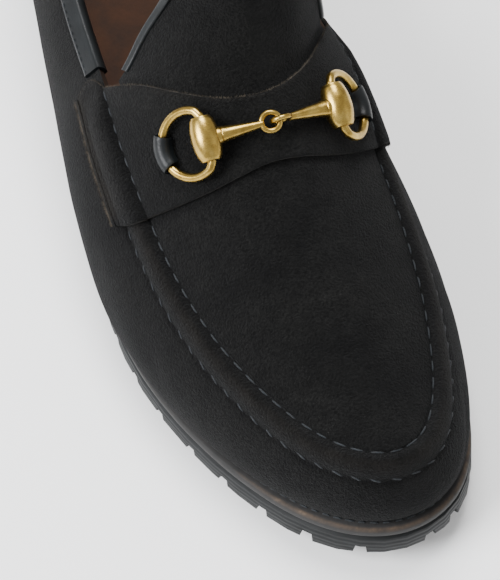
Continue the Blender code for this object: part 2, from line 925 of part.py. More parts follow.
def make_tongue():
    top = make_tongue_grid()
    normals = grid_normals(top)
    if normals[4][5][2] < 0:
        normals = -normals
    bottom = moved(top, normals, -TONGUE_THICK)
    solid("tongue", closed_sheets(top, bottom), SUEDE)
    rim = []
    first = len(TONGUE_ROOT_ROWS) + 1
    last = len(top) - 1
    left = [(k, 0) for k in range(first, last)]
    end = [(last, k) for k in range(0, TONGUE_STEPS + 1)]
    right = [(k, TONGUE_STEPS) for k in range(last - 1, first - 1, -1)]
    places = left + end + right
    path = [(top[row][column] + bottom[row][column]) / 2 for row, column in places]
    for k, (row, column) in enumerate(places):
        inner_row = min(row, last - 1)
        inner_column = min(max(column, 1), TONGUE_STEPS - 1)
        within = (top[inner_row][inner_column] + bottom[inner_row][inner_column]) / 2
        normal = (top[row][column] - bottom[row][column]).normalized()
        along = path[min(k + 1, len(path) - 1)] - path[max(k - 1, 0)]
        away = along.cross(normal).normalized()
        back = (within - path[k]).normalized()
        if away.dot(back) > 0:
            away = -away
        rim.append((path[k], away, back, normal, TONGUE_THICK / 2, TONGUE_THICK / 2))
    return binding("tongue_binding", rim, TONGUE_LEG, TONGUE_GAP)


def binding(name, rim, leg, gap):
    """A folded strip round an edge: both legs, and a rounded fold between them."""
    rows = []
    for here, away, back, normal, over, under in rim:
        high = over + gap + BINDING_THICK
        low = -under - gap - BINDING_THICK
        middle = (high + low) / 2
        round_out = (high - low) / 2
        profile = [
            (-leg, over + gap),
            (-leg, high),
            (0, high),
            (gap + 0.45 * BINDING_THICK, middle + round_out * 0.8),
            (gap + BINDING_THICK, middle + round_out * 0.3),
            (gap + BINDING_THICK, middle - round_out * 0.3),
            (gap + 0.45 * BINDING_THICK, middle - round_out * 0.8),
            (0, low),
            (-leg, low),
            (-leg, -under - gap),
            (gap, -under - gap),
            (gap, over + gap),
        ]
        rows.append(
            [
                here + (away * out if out > 0 else back * -out) + normal * up
                for out, up in profile + profile[:1]
            ]
        )
    mesh = bmesh.new()
    sheet(mesh, rows)
    bmesh.ops.remove_doubles(mesh, verts=mesh.verts, dist=0.002 * MM)
    rims = [edge_ for edge_ in mesh.edges if edge_.is_boundary]
    bmesh.ops.holes_fill(mesh, edges=rims, sides=0)
    bmesh.ops.triangulate(mesh, faces=[face for face in mesh.faces if len(face.verts) > 4])
    return finish(name, mesh, TRIM)


def make_collar_binding():
    rim = []
    path = [(INNER, station) for station in reversed(STATIONS[1:REAR_STEPS])]
    path += [(OUTER, station) for station in STATIONS[:REAR_STEPS]]
    for side, station in path:
        top = rib(side, station, 1)
        normal = rib_normal(side, station, 1)
        away = (top - rib(side, station, 0.93)).normalized()
        away = (away - normal * away.dot(normal)).normalized()
        rim.append((top, away, -away, normal, 0, WALL_THICK))
    return binding("collar_binding", rim, COLLAR_LEG, COLLAR_GAP)


def on_strap(across, height, station=None):
    """Point over the strap's outside, with the strap's own normal there."""
    station = station or BIT_STATION
    step = 0.004
    along = instep(station + step, across) - instep(station - step, across)
    sideways = instep(station, min(across + step, 1)) - instep(station, max(across - step, 0))
    normal = along.cross(sideways).normalized()
    if normal.z < 0:
        normal = -normal
    return instep(station, across) + normal * (STRAP_GAP + SADDLE_THICK + height), normal


def across_at(side, distance, height):
    """Where across the strap a distance from the middle of the bit ends."""
    step = 0.004
    across = BIT_ACROSS
    last = on_strap(across, height)[0]
    walked = 0.0
    while walked < distance:
        across -= step * side
        here = on_strap(across, height)[0]
        walked += (here - last).length
        last = here
    return across


def frame(origin, first, second, third):
    rows = [(first[k], second[k], third[k], origin[k]) for k in range(3)]
    return Matrix(rows + [(0, 0, 0, 1)])


def turned(mesh, profile, steps, matrix):
    """A body turned about the local Z axis from pairs of radius and height."""
    rows = []
    for radius, height in profile:
        row = []
        for k in range(steps + 1):
            angle = 2 * math.pi * k / steps
            row.append(matrix @ Vector((radius * math.cos(angle), radius * math.sin(angle), height)))
        rows.append(row)
    sheet(mesh, rows)


def wire(mesh, path, normals, radius, sides):
    """A closed wire along a path whose points come with one direction across it."""
    rows = []
    count = len(path)
    for k in range(count + 1):
        here = path[k % count]
        along = (path[(k + 1) % count] - path[(k - 1) % count]).normalized()
        up = normals[k % count]
        side_way = along.cross(up).normalized()
        row = []
        for j in range(sides + 1):
            angle = 2 * math.pi * j / sides
            row.append(here + (up * math.sin(angle) + side_way * math.cos(angle)) * radius)
        rows.append(row)
    sheet(mesh, rows)


def clean(mesh):
    bmesh.ops.remove_doubles(mesh, verts=mesh.verts, dist=0.002 * MM)
    bmesh.ops.recalc_face_normals(mesh, faces=mesh.faces)


def make_bit_half(side, name):
    middle, normal = on_strap(BIT_ACROSS, EYE_WIRE + EYE_RADIUS + GAP)
    height = BARREL_RADIUS + 0.4 * MM
    barrel, barrel_normal = on_strap(across_at(side, BARREL_REACH, height), height)
    outer_way = (barrel - middle).normalized()
    eye = middle + outer_way * (EYE_SPACING / 2)
    bar = (barrel - eye).normalized()
    up = (barrel_normal - bar * barrel_normal.dot(bar)).normalized()
    along = up.cross(bar).normalized()
    matrix = frame(barrel, bar, up, along)
    half = BARREL_LENGTH / 2
    mesh = bmesh.new()
    profile = [(0, -half), (BARREL_END_RADIUS, -half)]
    for share in (-0.8, -0.5, -0.2, 0.2, 0.5, 0.8):
        bulge = BARREL_RADIUS - (BARREL_RADIUS - BARREL_END_RADIUS) * abs(share) ** 1.7
        profile.append((bulge, share * half))
    profile += [(BARREL_END_RADIUS, half), (0, half)]
    turned(mesh, profile, BARREL_SIDES, matrix)
    clean(mesh)
    made = finish(name, mesh, BRASS)
    length = (barrel - eye).length
    tip = length - EYE_RADIUS
    mesh = bmesh.new()
    pointing = frame(barrel, up, along, -bar)
    taper = [(0, 0), (BAR_ROOT_RADIUS + 0.15 * MM, 0), (BAR_ROOT_RADIUS + 0.15 * MM, BARREL_RADIUS + 0.5 * MM)]
    taper += [(BAR_ROOT_RADIUS, BARREL_RADIUS + 0.9 * MM), (BAR_TIP_RADIUS, tip), (0, tip)]
    turned(mesh, taper, 10, pointing)
    cut(made, cutter(name + "_bar", mesh), "UNION")
    mesh = bmesh.new()
    eye_normal = along if side == INNER else up
    second = up if side == INNER else along
    path = []
    for k in range(EYE_STEPS):
        angle = 2 * math.pi * (k + 0.5) / EYE_STEPS
        path.append(eye + (bar * math.cos(angle) + second * math.sin(angle)) * EYE_RADIUS)
    wire(mesh, path, [eye_normal] * len(path), EYE_WIRE, 6)
    cut(made, cutter(name + "_eye", mesh), "UNION")
    mesh = bmesh.new()
    bore = RING_WIRE + 1.1 * GAP
    turned(mesh, [(0, -half - MM), (bore, -half - MM), (bore, half + MM), (0, half + MM)], 16, matrix)
    cut(made, cutter(name + "_bore", mesh))
    for face in made.data.polygons:
        face.use_smooth = True
    return barrel, along, up, bar


def ring_path(barrel, along, away):
    """A D: a straight side through the barrel, two small corners and a wide bow."""
    centre = barrel + away * RING_CHORD
    half = BARREL_LENGTH / 2 + 0.25 * MM
    points = [barrel + along * half * share for share in (-1, -0.5, 0, 0.5, 1)]
    reach = math.sqrt(RING_RADIUS**2 - RING_CHORD**2)
    start = math.atan2(reach, -RING_CHORD) - 0.16
    points.append(barrel + along * (reach + 0.12 * MM) + away * 0.75 * MM)
    for angle in spread(start, -start, RING_BOW_STEPS):
        points.append(centre + (away * math.cos(angle) + along * math.sin(angle)) * RING_RADIUS)
    points.append(barrel - along * (reach + 0.12 * MM) + away * 0.75 * MM)
    return points


def make_ring_and_keeper(side, suffix, barrel, along, up):
    span = RING_CHORD + RING_RADIUS
    low = RING_WIRE + 0.8 * MM
    across = across_at(side, BARREL_REACH + span, low)
    target = on_strap(across, low)[0]
    away = target - barrel
    away = (away - along * away.dot(along)).normalized()
    upward = along.cross(away)
    if upward.dot(up) < 0:
        upward = -upward
    mesh = bmesh.new()
    path = ring_path(barrel, along, away)
    wire(mesh, path, [upward] * len(path), RING_WIRE, 8)
    clean(mesh)
    finish("ring_" + suffix, mesh, BRASS)
    centre = barrel + away * RING_CHORD
    inner = RING_WIRE + 1.2 * GAP
    outer = inner + KEEPER_THICK
    foot = -low + 2.2 * STRAP_GAP
    arch = [(-outer, foot), (-outer, 0)]
    for k in range(1, 6):
        angle = math.pi * (1 - k / 6)
        arch.append((outer * math.cos(angle), outer * math.sin(angle)))
    arch += [(outer, 0), (outer, foot), (inner, foot), (inner, 0)]
    for k in range(1, 6):
        angle = math.pi * k / 6
        arch.append((inner * math.cos(angle), inner * math.sin(angle)))
    arch += [(-inner, 0), (-inner, foot)]
    spread_angle = KEEPER_WIDTH / 2 / RING_RADIUS
    rows = []
    for angle in spread(-spread_angle, spread_angle, 6):
        way = away * math.cos(angle) + along * math.sin(angle)
        here = centre + way * RING_RADIUS
        rows.append([here + way * out + upward * lift for out, lift in arch + arch[:1]])
    mesh = bmesh.new()
    sheet(mesh, rows)
    bmesh.ops.remove_doubles(mesh, verts=mesh.verts, dist=0.002 * MM)
    rims = [line for line in mesh.edges if line.is_boundary]
    bmesh.ops.holes_fill(mesh, edges=rims, sides=0)
    finish("keeper_" + suffix, mesh, TRIM)


def clear_scene():
    for item in list(bpy.data.objects):
        bpy.data.objects.remove(item, do_unlink=True)


def centre_on_floor():
    """Moves the shoe so that its box stands on the floor, centred over the origin."""
    corners = [corner.co for item in PARTS.objects for corner in item.data.vertices]
    low = Vector([min(corner[k] for corner in corners) for k in range(3)])
    high = Vector([max(corner[k] for corner in corners) for k in range(3)])
    shift = Vector((-(low.x + high.x) / 2, -(low.y + high.y) / 2, -low.z))
    for item in PARTS.objects:
        item.data.transform(Matrix.Translation(shift))
    print("moved by", [round(value / MM, 3) for value in shift])


clear_scene()
PARTS = bpy.data.collections.new("bit_loafer")
bpy.context.scene.collection.children.link(PARTS)
CUTTERS = bpy.data.collections.new("cutters")
bpy.context.scene.collection.children.link(CUTTERS)
CUTTERS.hide_render = True

SUEDE = material("charcoal suede", (0.012, 0.011, 0.011), 0.95)
TRIM = material("black smooth leather", (0.008, 0.009, 0.010), 0.42)
EDGE = material("brown edged midsole", (0.050, 0.034, 0.022), 0.75)
RUBBER = material("black lug rubber", (0.010, 0.011, 0.012), 0.62)
SOCK = material("tan leather insole", (0.250, 0.120, 0.055), 0.55)
BRASS = material("antique brass", (0.560, 0.410, 0.170), 0.34, 1.0)

make_outsole()
make_heel()
make_midsole()
make_insole()
make_upper()
make_tongue()
make_saddle()
make_collar_binding()
for where, suffix in ((OUTER, "outer"), (INNER, "inner")):
    barrel, along, up, bar = make_bit_half(where, "bit_half_" + suffix)
    make_ring_and_keeper(where, suffix, barrel, along, up)
centre_on_floor()
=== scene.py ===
# %% [markdown]
# A right-foot bit loafer in near-black suede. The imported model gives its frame; here every soft piece is
# made again from the same last, finer, with its seams, stitches, nap and wear.

# %% Frame
import bisect
import functools
import math
import random

import bmesh
import bpy
import numpy as np
from mathutils import Matrix, Vector


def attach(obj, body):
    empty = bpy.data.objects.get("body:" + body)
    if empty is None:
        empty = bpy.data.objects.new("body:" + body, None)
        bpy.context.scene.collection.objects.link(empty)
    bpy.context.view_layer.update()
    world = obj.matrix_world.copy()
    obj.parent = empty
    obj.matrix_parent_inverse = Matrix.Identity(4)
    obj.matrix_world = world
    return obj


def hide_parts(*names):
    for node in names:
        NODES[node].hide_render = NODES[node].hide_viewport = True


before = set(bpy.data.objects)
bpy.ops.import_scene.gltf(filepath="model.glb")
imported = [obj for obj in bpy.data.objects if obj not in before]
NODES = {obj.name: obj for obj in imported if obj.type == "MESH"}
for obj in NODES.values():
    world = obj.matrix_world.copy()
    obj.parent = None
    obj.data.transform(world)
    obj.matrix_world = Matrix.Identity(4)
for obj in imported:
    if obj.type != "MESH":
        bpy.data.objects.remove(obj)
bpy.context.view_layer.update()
MM = 0.001
print("nodes", sorted(NODES))

# %% [markdown]
# The last. A shoe is drawn over a last: its feather line is the outline of its underside, side ribs rise
# from it to the topline or the apron seam, and the instep is stretched between the two seams. The tables
# are shares of a few named sizes, so the leather, the strap and each row of stitches follow one form.

# %% The last's sizes and tables
LAST_LENGTH = 287 * MM
BALL_WIDTH = 92 * MM
HEEL_RISE = 25 * MM
TOE_SPRING = 9.5 * MM
SEAM_HEIGHT = 54 * MM
INSTEP_CROWN = 30 * MM
CROWN_POWER = 2.1
CROWN_LEAN = 0.55

# The layers under the foot
GAP = 0.3 * MM
MIDSOLE_THICK = 3.0 * MM
OUTSOLE_THICK = 8.1 * MM
INSOLE_THICK = 2.2 * MM
WELT_REACH = 4.9 * MM

# The upper
WALL_THICK = 2.0 * MM
RIDGE_WIDTH = 8.5 * MM
RIDGE_HEIGHT = 1.7 * MM
NOTCH = 0.505
THROAT = 0.516
COLLAR_END = 0.480
THROAT_BOW = 0.054
SEAM_FADE = 0.03

# The strap over the instep and the trims
SADDLE_THICK = 1.6 * MM
SADDLE_WING = 12 * MM
TONGUE_THICK = 2.2 * MM
TONGUE_LENGTH = 44 * MM
TONGUE_BOW = 0.04
TONGUE_MARGIN = 0.05, 0.015
BINDING_THICK = 0.8 * MM
COLLAR_LEG = 5.5 * MM
TONGUE_LEG = 2.2 * MM

# The metal bit
BIT_STATION = 0.592
BIT_ACROSS = 0.545
BARREL_LENGTH = 13.2 * MM
BARREL_RADIUS = 4.4 * MM
BARREL_END_RADIUS = 3.0 * MM
BARREL_REACH = 21.4 * MM
BAR_ROOT_RADIUS = 2.35 * MM
BAR_TIP_RADIUS = 1.05 * MM
EYE_RADIUS = 2.7 * MM
EYE_WIRE = 0.85 * MM
EYE_SPACING = 3.3 * MM
RING_RADIUS = 9.8 * MM
RING_WIRE = 1.35 * MM
RING_CHORD = 5.75 * MM
KEEPER_WIDTH = 10 * MM
KEEPER_THICK = 1.1 * MM

# Shares of the last's length; of the ball width
OUTLINE = (
    # station, centre, half width
    (0.00, 0.000, 0.000),
    (0.02, 0.000, 0.190),
    (0.06, 0.003, 0.293),
    (0.12, 0.007, 0.340),
    (0.20, 0.011, 0.354),
    (0.28, 0.022, 0.348),
    (0.36, 0.033, 0.339),
    (0.44, 0.033, 0.352),
    (0.50, 0.015, 0.395),
    (0.56, -0.013, 0.448),
    (0.62, -0.037, 0.485),
    (0.68, -0.054, 0.500),
    (0.74, -0.074, 0.491),
    (0.80, -0.100, 0.459),
    (0.86, -0.128, 0.402),
    (0.91, -0.152, 0.335),
    (0.95, -0.170, 0.261),
    (0.98, -0.183, 0.172),
    (1.00, -0.189, 0.000),
)
# Shares of the heel rise and of the toe spring
BOTTOM = (
    # station, heel, toe
    (0.00, 1.00, 0.00),
    (0.12, 0.99, 0.00),
    (0.20, 0.95, 0.00),
    (0.28, 0.84, 0.00),
    (0.36, 0.66, 0.00),
    (0.44, 0.42, 0.00),
    (0.50, 0.24, 0.00),
    (0.56, 0.10, 0.00),
    (0.62, 0.02, 0.00),
    (0.68, 0.00, 0.00),
    (0.74, 0.00, 0.00),
    (0.80, 0.00, 0.06),
    (0.86, 0.00, 0.22),
    (0.91, 0.00, 0.45),
    (0.95, 0.00, 0.70),
    (0.98, 0.00, 0.90),
    (1.00, 0.00, 1.00),
)
# The wall swells to a belly and leans in again to its rim: shares of the ball width, the belly's
# height a share of the rim's
WALL = (
    # station, belly outer, belly inner, belly height, rim in outer, rim in inner
    (0.00, 0.042, 0.042, 0.38, 0.033, 0.033),
    (0.10, 0.036, 0.036, 0.38, 0.038, 0.038),
    (0.22, 0.048, 0.048, 0.38, 0.050, 0.045),
    (0.32, 0.080, 0.084, 0.42, 0.045, -0.030),
    (0.42, 0.101, 0.100, 0.42, 0.048, -0.082),
    (0.53, 0.088, 0.082, 0.36, 0.092, -0.050),
    (0.64, 0.072, 0.062, 0.30, 0.133, 0.055),
    (0.73, 0.060, 0.048, 0.26, 0.137, 0.085),
    (0.83, 0.052, 0.040, 0.24, 0.122, 0.098),
    (0.915, 0.045, 0.037, 0.22, 0.109, 0.100),
    (1.00, 0.038, 0.038, 0.20, 0.100, 0.100),
)
# Height of the topline and the apron seam over the feather line, a share of the seam's height
RIM = (
    # station, height
    (0.00, 1.10),
    (0.08, 1.07),
    (0.20, 0.88),
    (0.30, 0.80),
    (0.39, 0.775),
    (0.45, 0.82),
    (0.505, 0.895),
    (0.56, 0.84),
    (0.64, 0.75),
    (0.73, 0.67),
    (0.83, 0.565),
    (0.915, 0.47),
    (1.00, 0.415),
)
# Height of the instep's crest over the two seams, a share of the crown
CROWN = (
    # station, height
    (0.42, 1.00),
    (0.53, 0.79),
    (0.64, 0.57),
    (0.73, 0.41),
    (0.83, 0.27),
    (0.915, 0.15),
    (0.97, 0.06),
    (1.00, 0.00),
)
# Reach of the midsole past the feather line, a share of the welt's reach at the toe
WELT = (
    # station, reach
    (0.00, 0.65),
    (0.12, 0.60),
    (0.30, 0.52),
    (0.44, 0.50),
    (0.56, 0.55),
    (0.68, 0.62),
    (0.80, 0.73),
    (0.91, 0.90),
    (1.00, 1.00),
)
# Height of the apron's ridge, a share of the whole
RIDGE = (
    # share of the ridge's width down from the seam, height
    (0.00, 0.00),
    (0.16, 0.62),
    (0.36, 1.00),
    (0.62, 0.88),
    (0.84, 0.42),
    (1.00, 0.00),
)
# The strap's edges, as stations; across runs from 0 at the outer seam to 1 at the inner one, and
# -1 and 2 are the ends of its wings on the walls
SADDLE = (
    # across, rear edge, front edge
    (-1.00, 0.497, 0.634),
    (0.00, 0.506, 0.652),
    (0.12, 0.519, 0.649),
    (0.25, 0.540, 0.644),
    (0.38, 0.557, 0.636),
    (0.50, 0.563, 0.630),
    (0.62, 0.560, 0.631),
    (0.75, 0.547, 0.636),
    (0.88, 0.526, 0.638),
    (1.00, 0.506, 0.636),
    (2.00, 0.497, 0.620),
)
# The tongue: how far along it, half width and droop to the sides as shares of its root's, slope in
# degrees, and its turn toward the inner side, a share of the ball width
TONGUE = (
    # along, half width, droop, slope, turn in
    (0.00, 1.00, 1.00, 40, 0.000),
    (0.12, 0.945, 0.93, 41, 0.020),
    (0.30, 0.84, 0.78, 50, 0.049),
    (0.50, 0.725, 0.62, 57, 0.075),
    (0.70, 0.66, 0.42, 61, 0.088),
    (0.84, 0.62, 0.31, 63, 0.090),
    (0.94, 0.54, 0.23, 64, 0.090),
    (1.00, 0.42, 0.15, 64, 0.090),
)

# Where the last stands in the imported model's frame
LAST_PLACE = Vector((4.087, -144.987, 0.0)) * MM
STRAP_LIFT = 0.4 * MM
MIDDLE_END = 0.66
RIDGE_ZONE = 10.6 * MM
print("last", round(LAST_LENGTH / MM), "x", round(BALL_WIDTH / MM), "mm")


# %% [markdown]
# A row of a table holds good at its station, and a smooth curve joins the rows. Stations are read as an
# angle round the outline, so that the curve doesn't crowd or kink at the heel and the toe.

# %% The last's functions
OUTER, INNER = 1, -1


def turn(station):
    """The station as an angle, so that an outline turns smoothly round the heel and the toe."""
    return math.acos(1 - 2 * min(max(station, 0.0), 1.0))


def plain(place):
    """A place as it is, for tables that don't run round the outline."""
    return place


@functools.lru_cache(maxsize=None)
def curve_of(rows, column, angle, odd):
    """A table's column as knots, values and slopes. Past both ends it mirrors, an odd column with
    its sign changed."""
    knots = [angle(row[0]) for row in rows]
    values = [row[column] for row in rows]
    sign = -1 if odd else 1
    if angle is turn and rows[0][0] == 0:
        knots = [-knots[1]] + knots
        values = [sign * values[1]] + values
    if angle is turn and rows[-1][0] == 1:
        knots = knots + [2 * math.pi - knots[-2]]
        values = values + [sign * values[-2]]
    return knots, values, [float(slope) for slope in np.gradient(values, knots)]


def smooth(rows, column, place, angle=turn, odd=False):
    """A table's value between its rows."""
    knots, values, slopes = curve_of(rows, column, angle, odd)
    at = min(max(angle(place), knots[0]), knots[-1])
    i = min(max(bisect.bisect_right(knots, at) - 1, 0), len(knots) - 2)
    step = knots[i + 1] - knots[i]
    u = (at - knots[i]) / step
    return (
        values[i] * (1 + 2 * u) * (1 - u) ** 2
        + slopes[i] * step * u * (1 - u) ** 2
        + values[i + 1] * u**2 * (3 - 2 * u)
        + slopes[i + 1] * step * u**2 * (u - 1)
    )


def feather(side, station):
    """Point of the feather line, seen from above."""
    centre = smooth(OUTLINE, 1, station) * BALL_WIDTH
    half = smooth(OUTLINE, 2, station, odd=True) * BALL_WIDTH
    return Vector((centre + side * half, station * LAST_LENGTH, 0))


def outward(side, station):
    """The outline's outward direction, seen from above."""
    step = 0.01
    ends = []
    for angle in (turn(station) - step, turn(station) + step):
        over = -1 if angle < 0 or angle > math.pi else 1
        ends.append(feather(side * over, (1 - math.cos(angle)) / 2))
    along = ends[1] - ends[0]
    return (Vector((along.y, -along.x, 0)) * side).normalized()


def seat(station):
    """Height of the feather line over the floor."""
    return (
        MIDSOLE_THICK
        + OUTSOLE_THICK
        + 2 * GAP
        + max(smooth(BOTTOM, 1, station), 0) * HEEL_RISE
        + max(smooth(BOTTOM, 2, station), 0) * TOE_SPRING
    )


def rib(side, station, share):
    """Point of the side wall: share 0 is the feather line and 1 the rim."""
    belly = smooth(WALL, 1 if side == OUTER else 2, station) * BALL_WIDTH
    rim_in = smooth(WALL, 4 if side == OUTER else 5, station) * BALL_WIDTH
    top = smooth(RIM, 1, station) * SEAM_HEIGHT
    belly_height = smooth(WALL, 3, station) * top
    height = share * top
    if height < belly_height:
        out = belly * (1 - (1 - height / belly_height) ** 2)
    else:
        out = belly - (belly + rim_in) * ((height - belly_height) / (top - belly_height)) ** 2
    point = feather(side, station) + outward(side, station) * out
    point.z = seat(station) + height
    return point


def rib_normal(side, station, share):
    """The wall's outward normal in the upright plane across it."""
    low = rib(side, station, max(share - 0.01, 0))
    high = rib(side, station, share + 0.01)
    away = outward(side, station)
    rise = high.z - low.z
    lean = (high - low).dot(away)
    return (away * rise - Vector((0, 0, lean))).normalized()


def share_below_rim(side, station, distance):
    """Where on the rib a distance measured down the wall from its rim ends."""
    step = 0.01
    share = 1.0
    last = rib(side, station, share)
    while distance > 0 and share > step:
        below = rib(side, station, share - step)
        length = (below - last).length
        if length >= distance:
            return share - step * distance / length
        distance -= length
        share -= step
        last = below
    return share


def ridge(distance):
    """How far the apron's ridge stands out at this distance down from the seam."""
    if distance >= RIDGE_WIDTH:
        return 0.0
    return RIDGE_HEIGHT * smooth(RIDGE, 1, distance / RIDGE_WIDTH, angle=plain)


def ridge_fade(station):
    """The ridge starts under the strap."""
    return min(max((station - NOTCH) / SEAM_FADE, 0.0), 1.0)


def wall(side, station, distance):
    """Outside of the wall at a distance down from the seam, with the ridge on it."""
    share = share_below_rim(side, station, distance)
    lift = ridge(distance) * ridge_fade(station)
    return rib(side, station, share) + rib_normal(side, station, share) * lift


def instep(station, across):
    """Point of the vamp between the outer seam at 0 and the inner seam at 1."""
    left = rib(OUTER, station, 1)
    right = rib(INNER, station, 1)
    swell = smooth(CROWN, 1, station) * INSTEP_CROWN * (1 - abs(2 * across - 1) ** CROWN_POWER)
    return left.lerp(right, across) + Vector((0, CROWN_LEAN * swell, swell))


def across_steps(count):
    """Shares across the vamp, closer together near the seams where it is steeper."""
    crowding = 0.45
    shares = [k / count for k in range(count + 1)]
    return [crowding * (1 - math.cos(math.pi * s)) / 2 + (1 - crowding) * s for s in shares]


# %% [markdown]
# Grids. Every leather piece is a sheet worked out row by row: a plain grid is made and its corners are
# moved to the last's points. Two sheets whose edges meet are welded into one closed skin.

# %% Making a piece from sheets
CUT_ROUND = 0.25 * MM


def spread(first, last, steps):
    """Even steps from one number to another, both included."""
    return [first + (last - first) * k / steps for k in range(steps + 1)]


def sheet(mesh, points, tone=None):
    """A grid of faces with its corners at these points; tone is one number a corner for the material."""
    layer = mesh.verts.layers.float.get("tone") or mesh.verts.layers.float.new("tone")
    rows = len(points)
    columns = len(points[0])
    made = bmesh.ops.create_grid(mesh, x_segments=columns - 1, y_segments=rows - 1, size=1)["verts"]
    made.sort(key=lambda corner: (round(corner.co.y, 5), round(corner.co.x, 5)))
    for k, corner in enumerate(made):
        row, column = divmod(k, columns)
        corner.co = points[row][column]
        corner[layer] = tone[row][column] if tone else 0.0


def piece(name, mesh, shades, replaced=(), sharp=50, weld=0.004 * MM, moved=True):
    """Finishes a mesh as an object that rides on the shoe, placed from the last's frame into the row's."""
    bmesh.ops.remove_doubles(mesh, verts=mesh.verts, dist=weld)
    bmesh.ops.recalc_face_normals(mesh, faces=mesh.faces)
    if moved:
        bmesh.ops.translate(mesh, verts=mesh.verts, vec=LAST_PLACE)
    for face in mesh.faces:
        face.smooth = True
    data = bpy.data.meshes.new(name)
    mesh.to_mesh(data)
    mesh.free()
    data.set_sharp_from_angle(angle=math.radians(sharp))
    for shade in shades:
        data.materials.append(shade)
    made = bpy.data.objects.new(name, data)
    bpy.context.scene.collection.objects.link(made)
    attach(made, "root")
    if replaced:
        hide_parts(*replaced)
    print(name, len(data.polygons), "faces")
    return made


def grid_normals(points):
    """Unit normals of a grid of points, worked out from its neighbours."""
    grid = np.array([[tuple(point) for point in row] for row in points])
    normals = np.cross(np.gradient(grid, axis=1), np.gradient(grid, axis=0))
    lengths = np.linalg.norm(normals, axis=2, keepdims=True)
    normals = normals / np.where(lengths < 1e-12, 1, lengths)
    middle = normals[len(points) // 2][len(points[0]) // 2]
    return -normals if middle[2] < 0 else normals


def moved_by(points, normals, distances):
    """Each point moved along its normal; distances is one number or a grid of them."""
    rows = []
    for r, row in enumerate(points):
        out = []
        for c, point in enumerate(row):
            distance = distances if isinstance(distances, float) else distances[r][c]
            out.append(Vector(point) + Vector(normals[r][c]) * distance)
        rows.append(out)
    return rows


def softened(normals, times):
    """Normals evened out along the first direction of their grid."""
    for _ in range(times):
        before = np.concatenate([normals[:1], normals[:-1]])
        after = np.concatenate([normals[1:], normals[-1:]])
        normals = before + 2 * normals + after
        normals = normals / np.linalg.norm(normals, axis=2, keepdims=True)
    return normals


def edge_cells(points):
    """Row and column of each point on a grid's edge."""
    last_row, last_column = len(points) - 1, len(points[0]) - 1
    rim = {(r, c) for r in (0, last_row) for c in range(last_column + 1)}
    return rim | {(r, c) for r in range(last_row + 1) for c in (0, last_column)}


def cut_edges(mesh, top, bottom):
    """The four strips that join the edges of two grids."""
    for k in (0, -1):
        sheet(mesh, [[row[k] for row in top], [row[k] for row in bottom]])
    for k in (0, -1):
        sheet(mesh, [top[k], bottom[k]])


def slab(mesh, points, normals, low, high):
    """A closed skin between two offsets of a grid, its cut edges slightly rounded."""
    rim = edge_cells(points)
    columns = range(len(points[0]))
    ease = [[CUT_ROUND if (r, c) in rim else 0.0 for c in columns] for r in range(len(points))]
    top = moved_by(points, normals, [[high - value for value in row] for row in ease])
    bottom = moved_by(points, normals, [[low + value for value in row] for row in ease])
    sheet(mesh, top)
    sheet(mesh, bottom)
    cut_edges(mesh, top, bottom)


# %% [markdown]
# Materials. Each is named for what it is and how it was made, and its scales are real ones: the pores of
# smooth leather, the plies of thread, the brush lines on cast brass. Only the suede's nap is drawn coarser.

# %% Material helpers
def linear(code):
    """An sRGB colour code as linear red, green and blue."""
    values = [int(code[k : k + 2], 16) / 255 for k in (0, 2, 4)]
    return [v / 12.92 if v <= 0.04045 else ((v + 0.055) / 1.055) ** 2.4 for v in values] + [1]


def add(tree, kind, links=None, **settings):
    """Adds one node. A setting is a property of the node or the value of an input; links feed inputs."""
    made = tree.nodes.new(kind)
    for key, value in settings.items():
        if key in made.bl_rna.properties and not key.startswith("in_"):
            setattr(made, key, value)
        else:
            made.inputs[key.replace("in_", "").replace("_", " ")].default_value = value
    for key, socket in (links or {}).items():
        tree.links.new(socket, made.inputs[key])
    return made


def start(name, roughness, **settings):
    """A material, its node tree, its shader and the piece's own coordinates in metres."""
    made = bpy.data.materials.new(name)
    made.use_nodes = True
    tree = made.node_tree
    shader = tree.nodes["Principled BSDF"]
    shader.inputs["Roughness"].default_value = roughness
    for key, value in settings.items():
        shader.inputs[key.replace("_", " ")].default_value = value
    place = tree.nodes.new("ShaderNodeTexCoord").outputs["Object"]
    return made, tree, shader, place


def noise(tree, place, size, detail=3.0, rough=0.55):
    """A cloudy pattern whose cells have this real size."""
    links = {"Vector": place}
    made = add(tree, "ShaderNodeTexNoise", links, in_Scale=1 / size, in_Detail=detail, in_Roughness=rough)
    return made.outputs["Fac"]


def ramp(tree, factor, stops):
    """A colour ramp through (position, colour code) stops."""
    made = add(tree, "ShaderNodeValToRGB", {"Fac": factor})
    line = made.color_ramp
    while len(line.elements) < len(stops):
        line.elements.new(0.5)
    for element, (position, code) in zip(line.elements, stops):
        element.position = position
        element.color = linear(code)
    return made.outputs["Color"]


def mix(tree, factor, first, second, kind="MIX"):
    """Two colours blended; each value is a number, a colour or a socket."""
    made = tree.nodes.new("ShaderNodeMix")
    made.data_type = "RGBA"
    made.blend_type = kind
    for slot, value in ((0, factor), (6, first), (7, second)):
        if isinstance(value, bpy.types.NodeSocket):
            tree.links.new(value, made.inputs[slot])
        else:
            made.inputs[slot].default_value = value
    return made.outputs[2]


def bumps(tree, shader, layers):
    """Bump nodes one after another: (height socket, strength, distance in metres)."""
    last = None
    for height, strength, distance in layers:
        made = add(tree, "ShaderNodeBump", {"Height": height}, in_Strength=strength, in_Distance=distance)
        if last:
            tree.links.new(last, made.inputs["Normal"])
        last = made.outputs["Normal"]
    tree.links.new(last, shader.inputs["Normal"])


def tone_of(tree):
    """The number that each corner of a piece carries for its material."""
    return add(tree, "ShaderNodeAttribute", attribute_name="tone").outputs["Fac"]


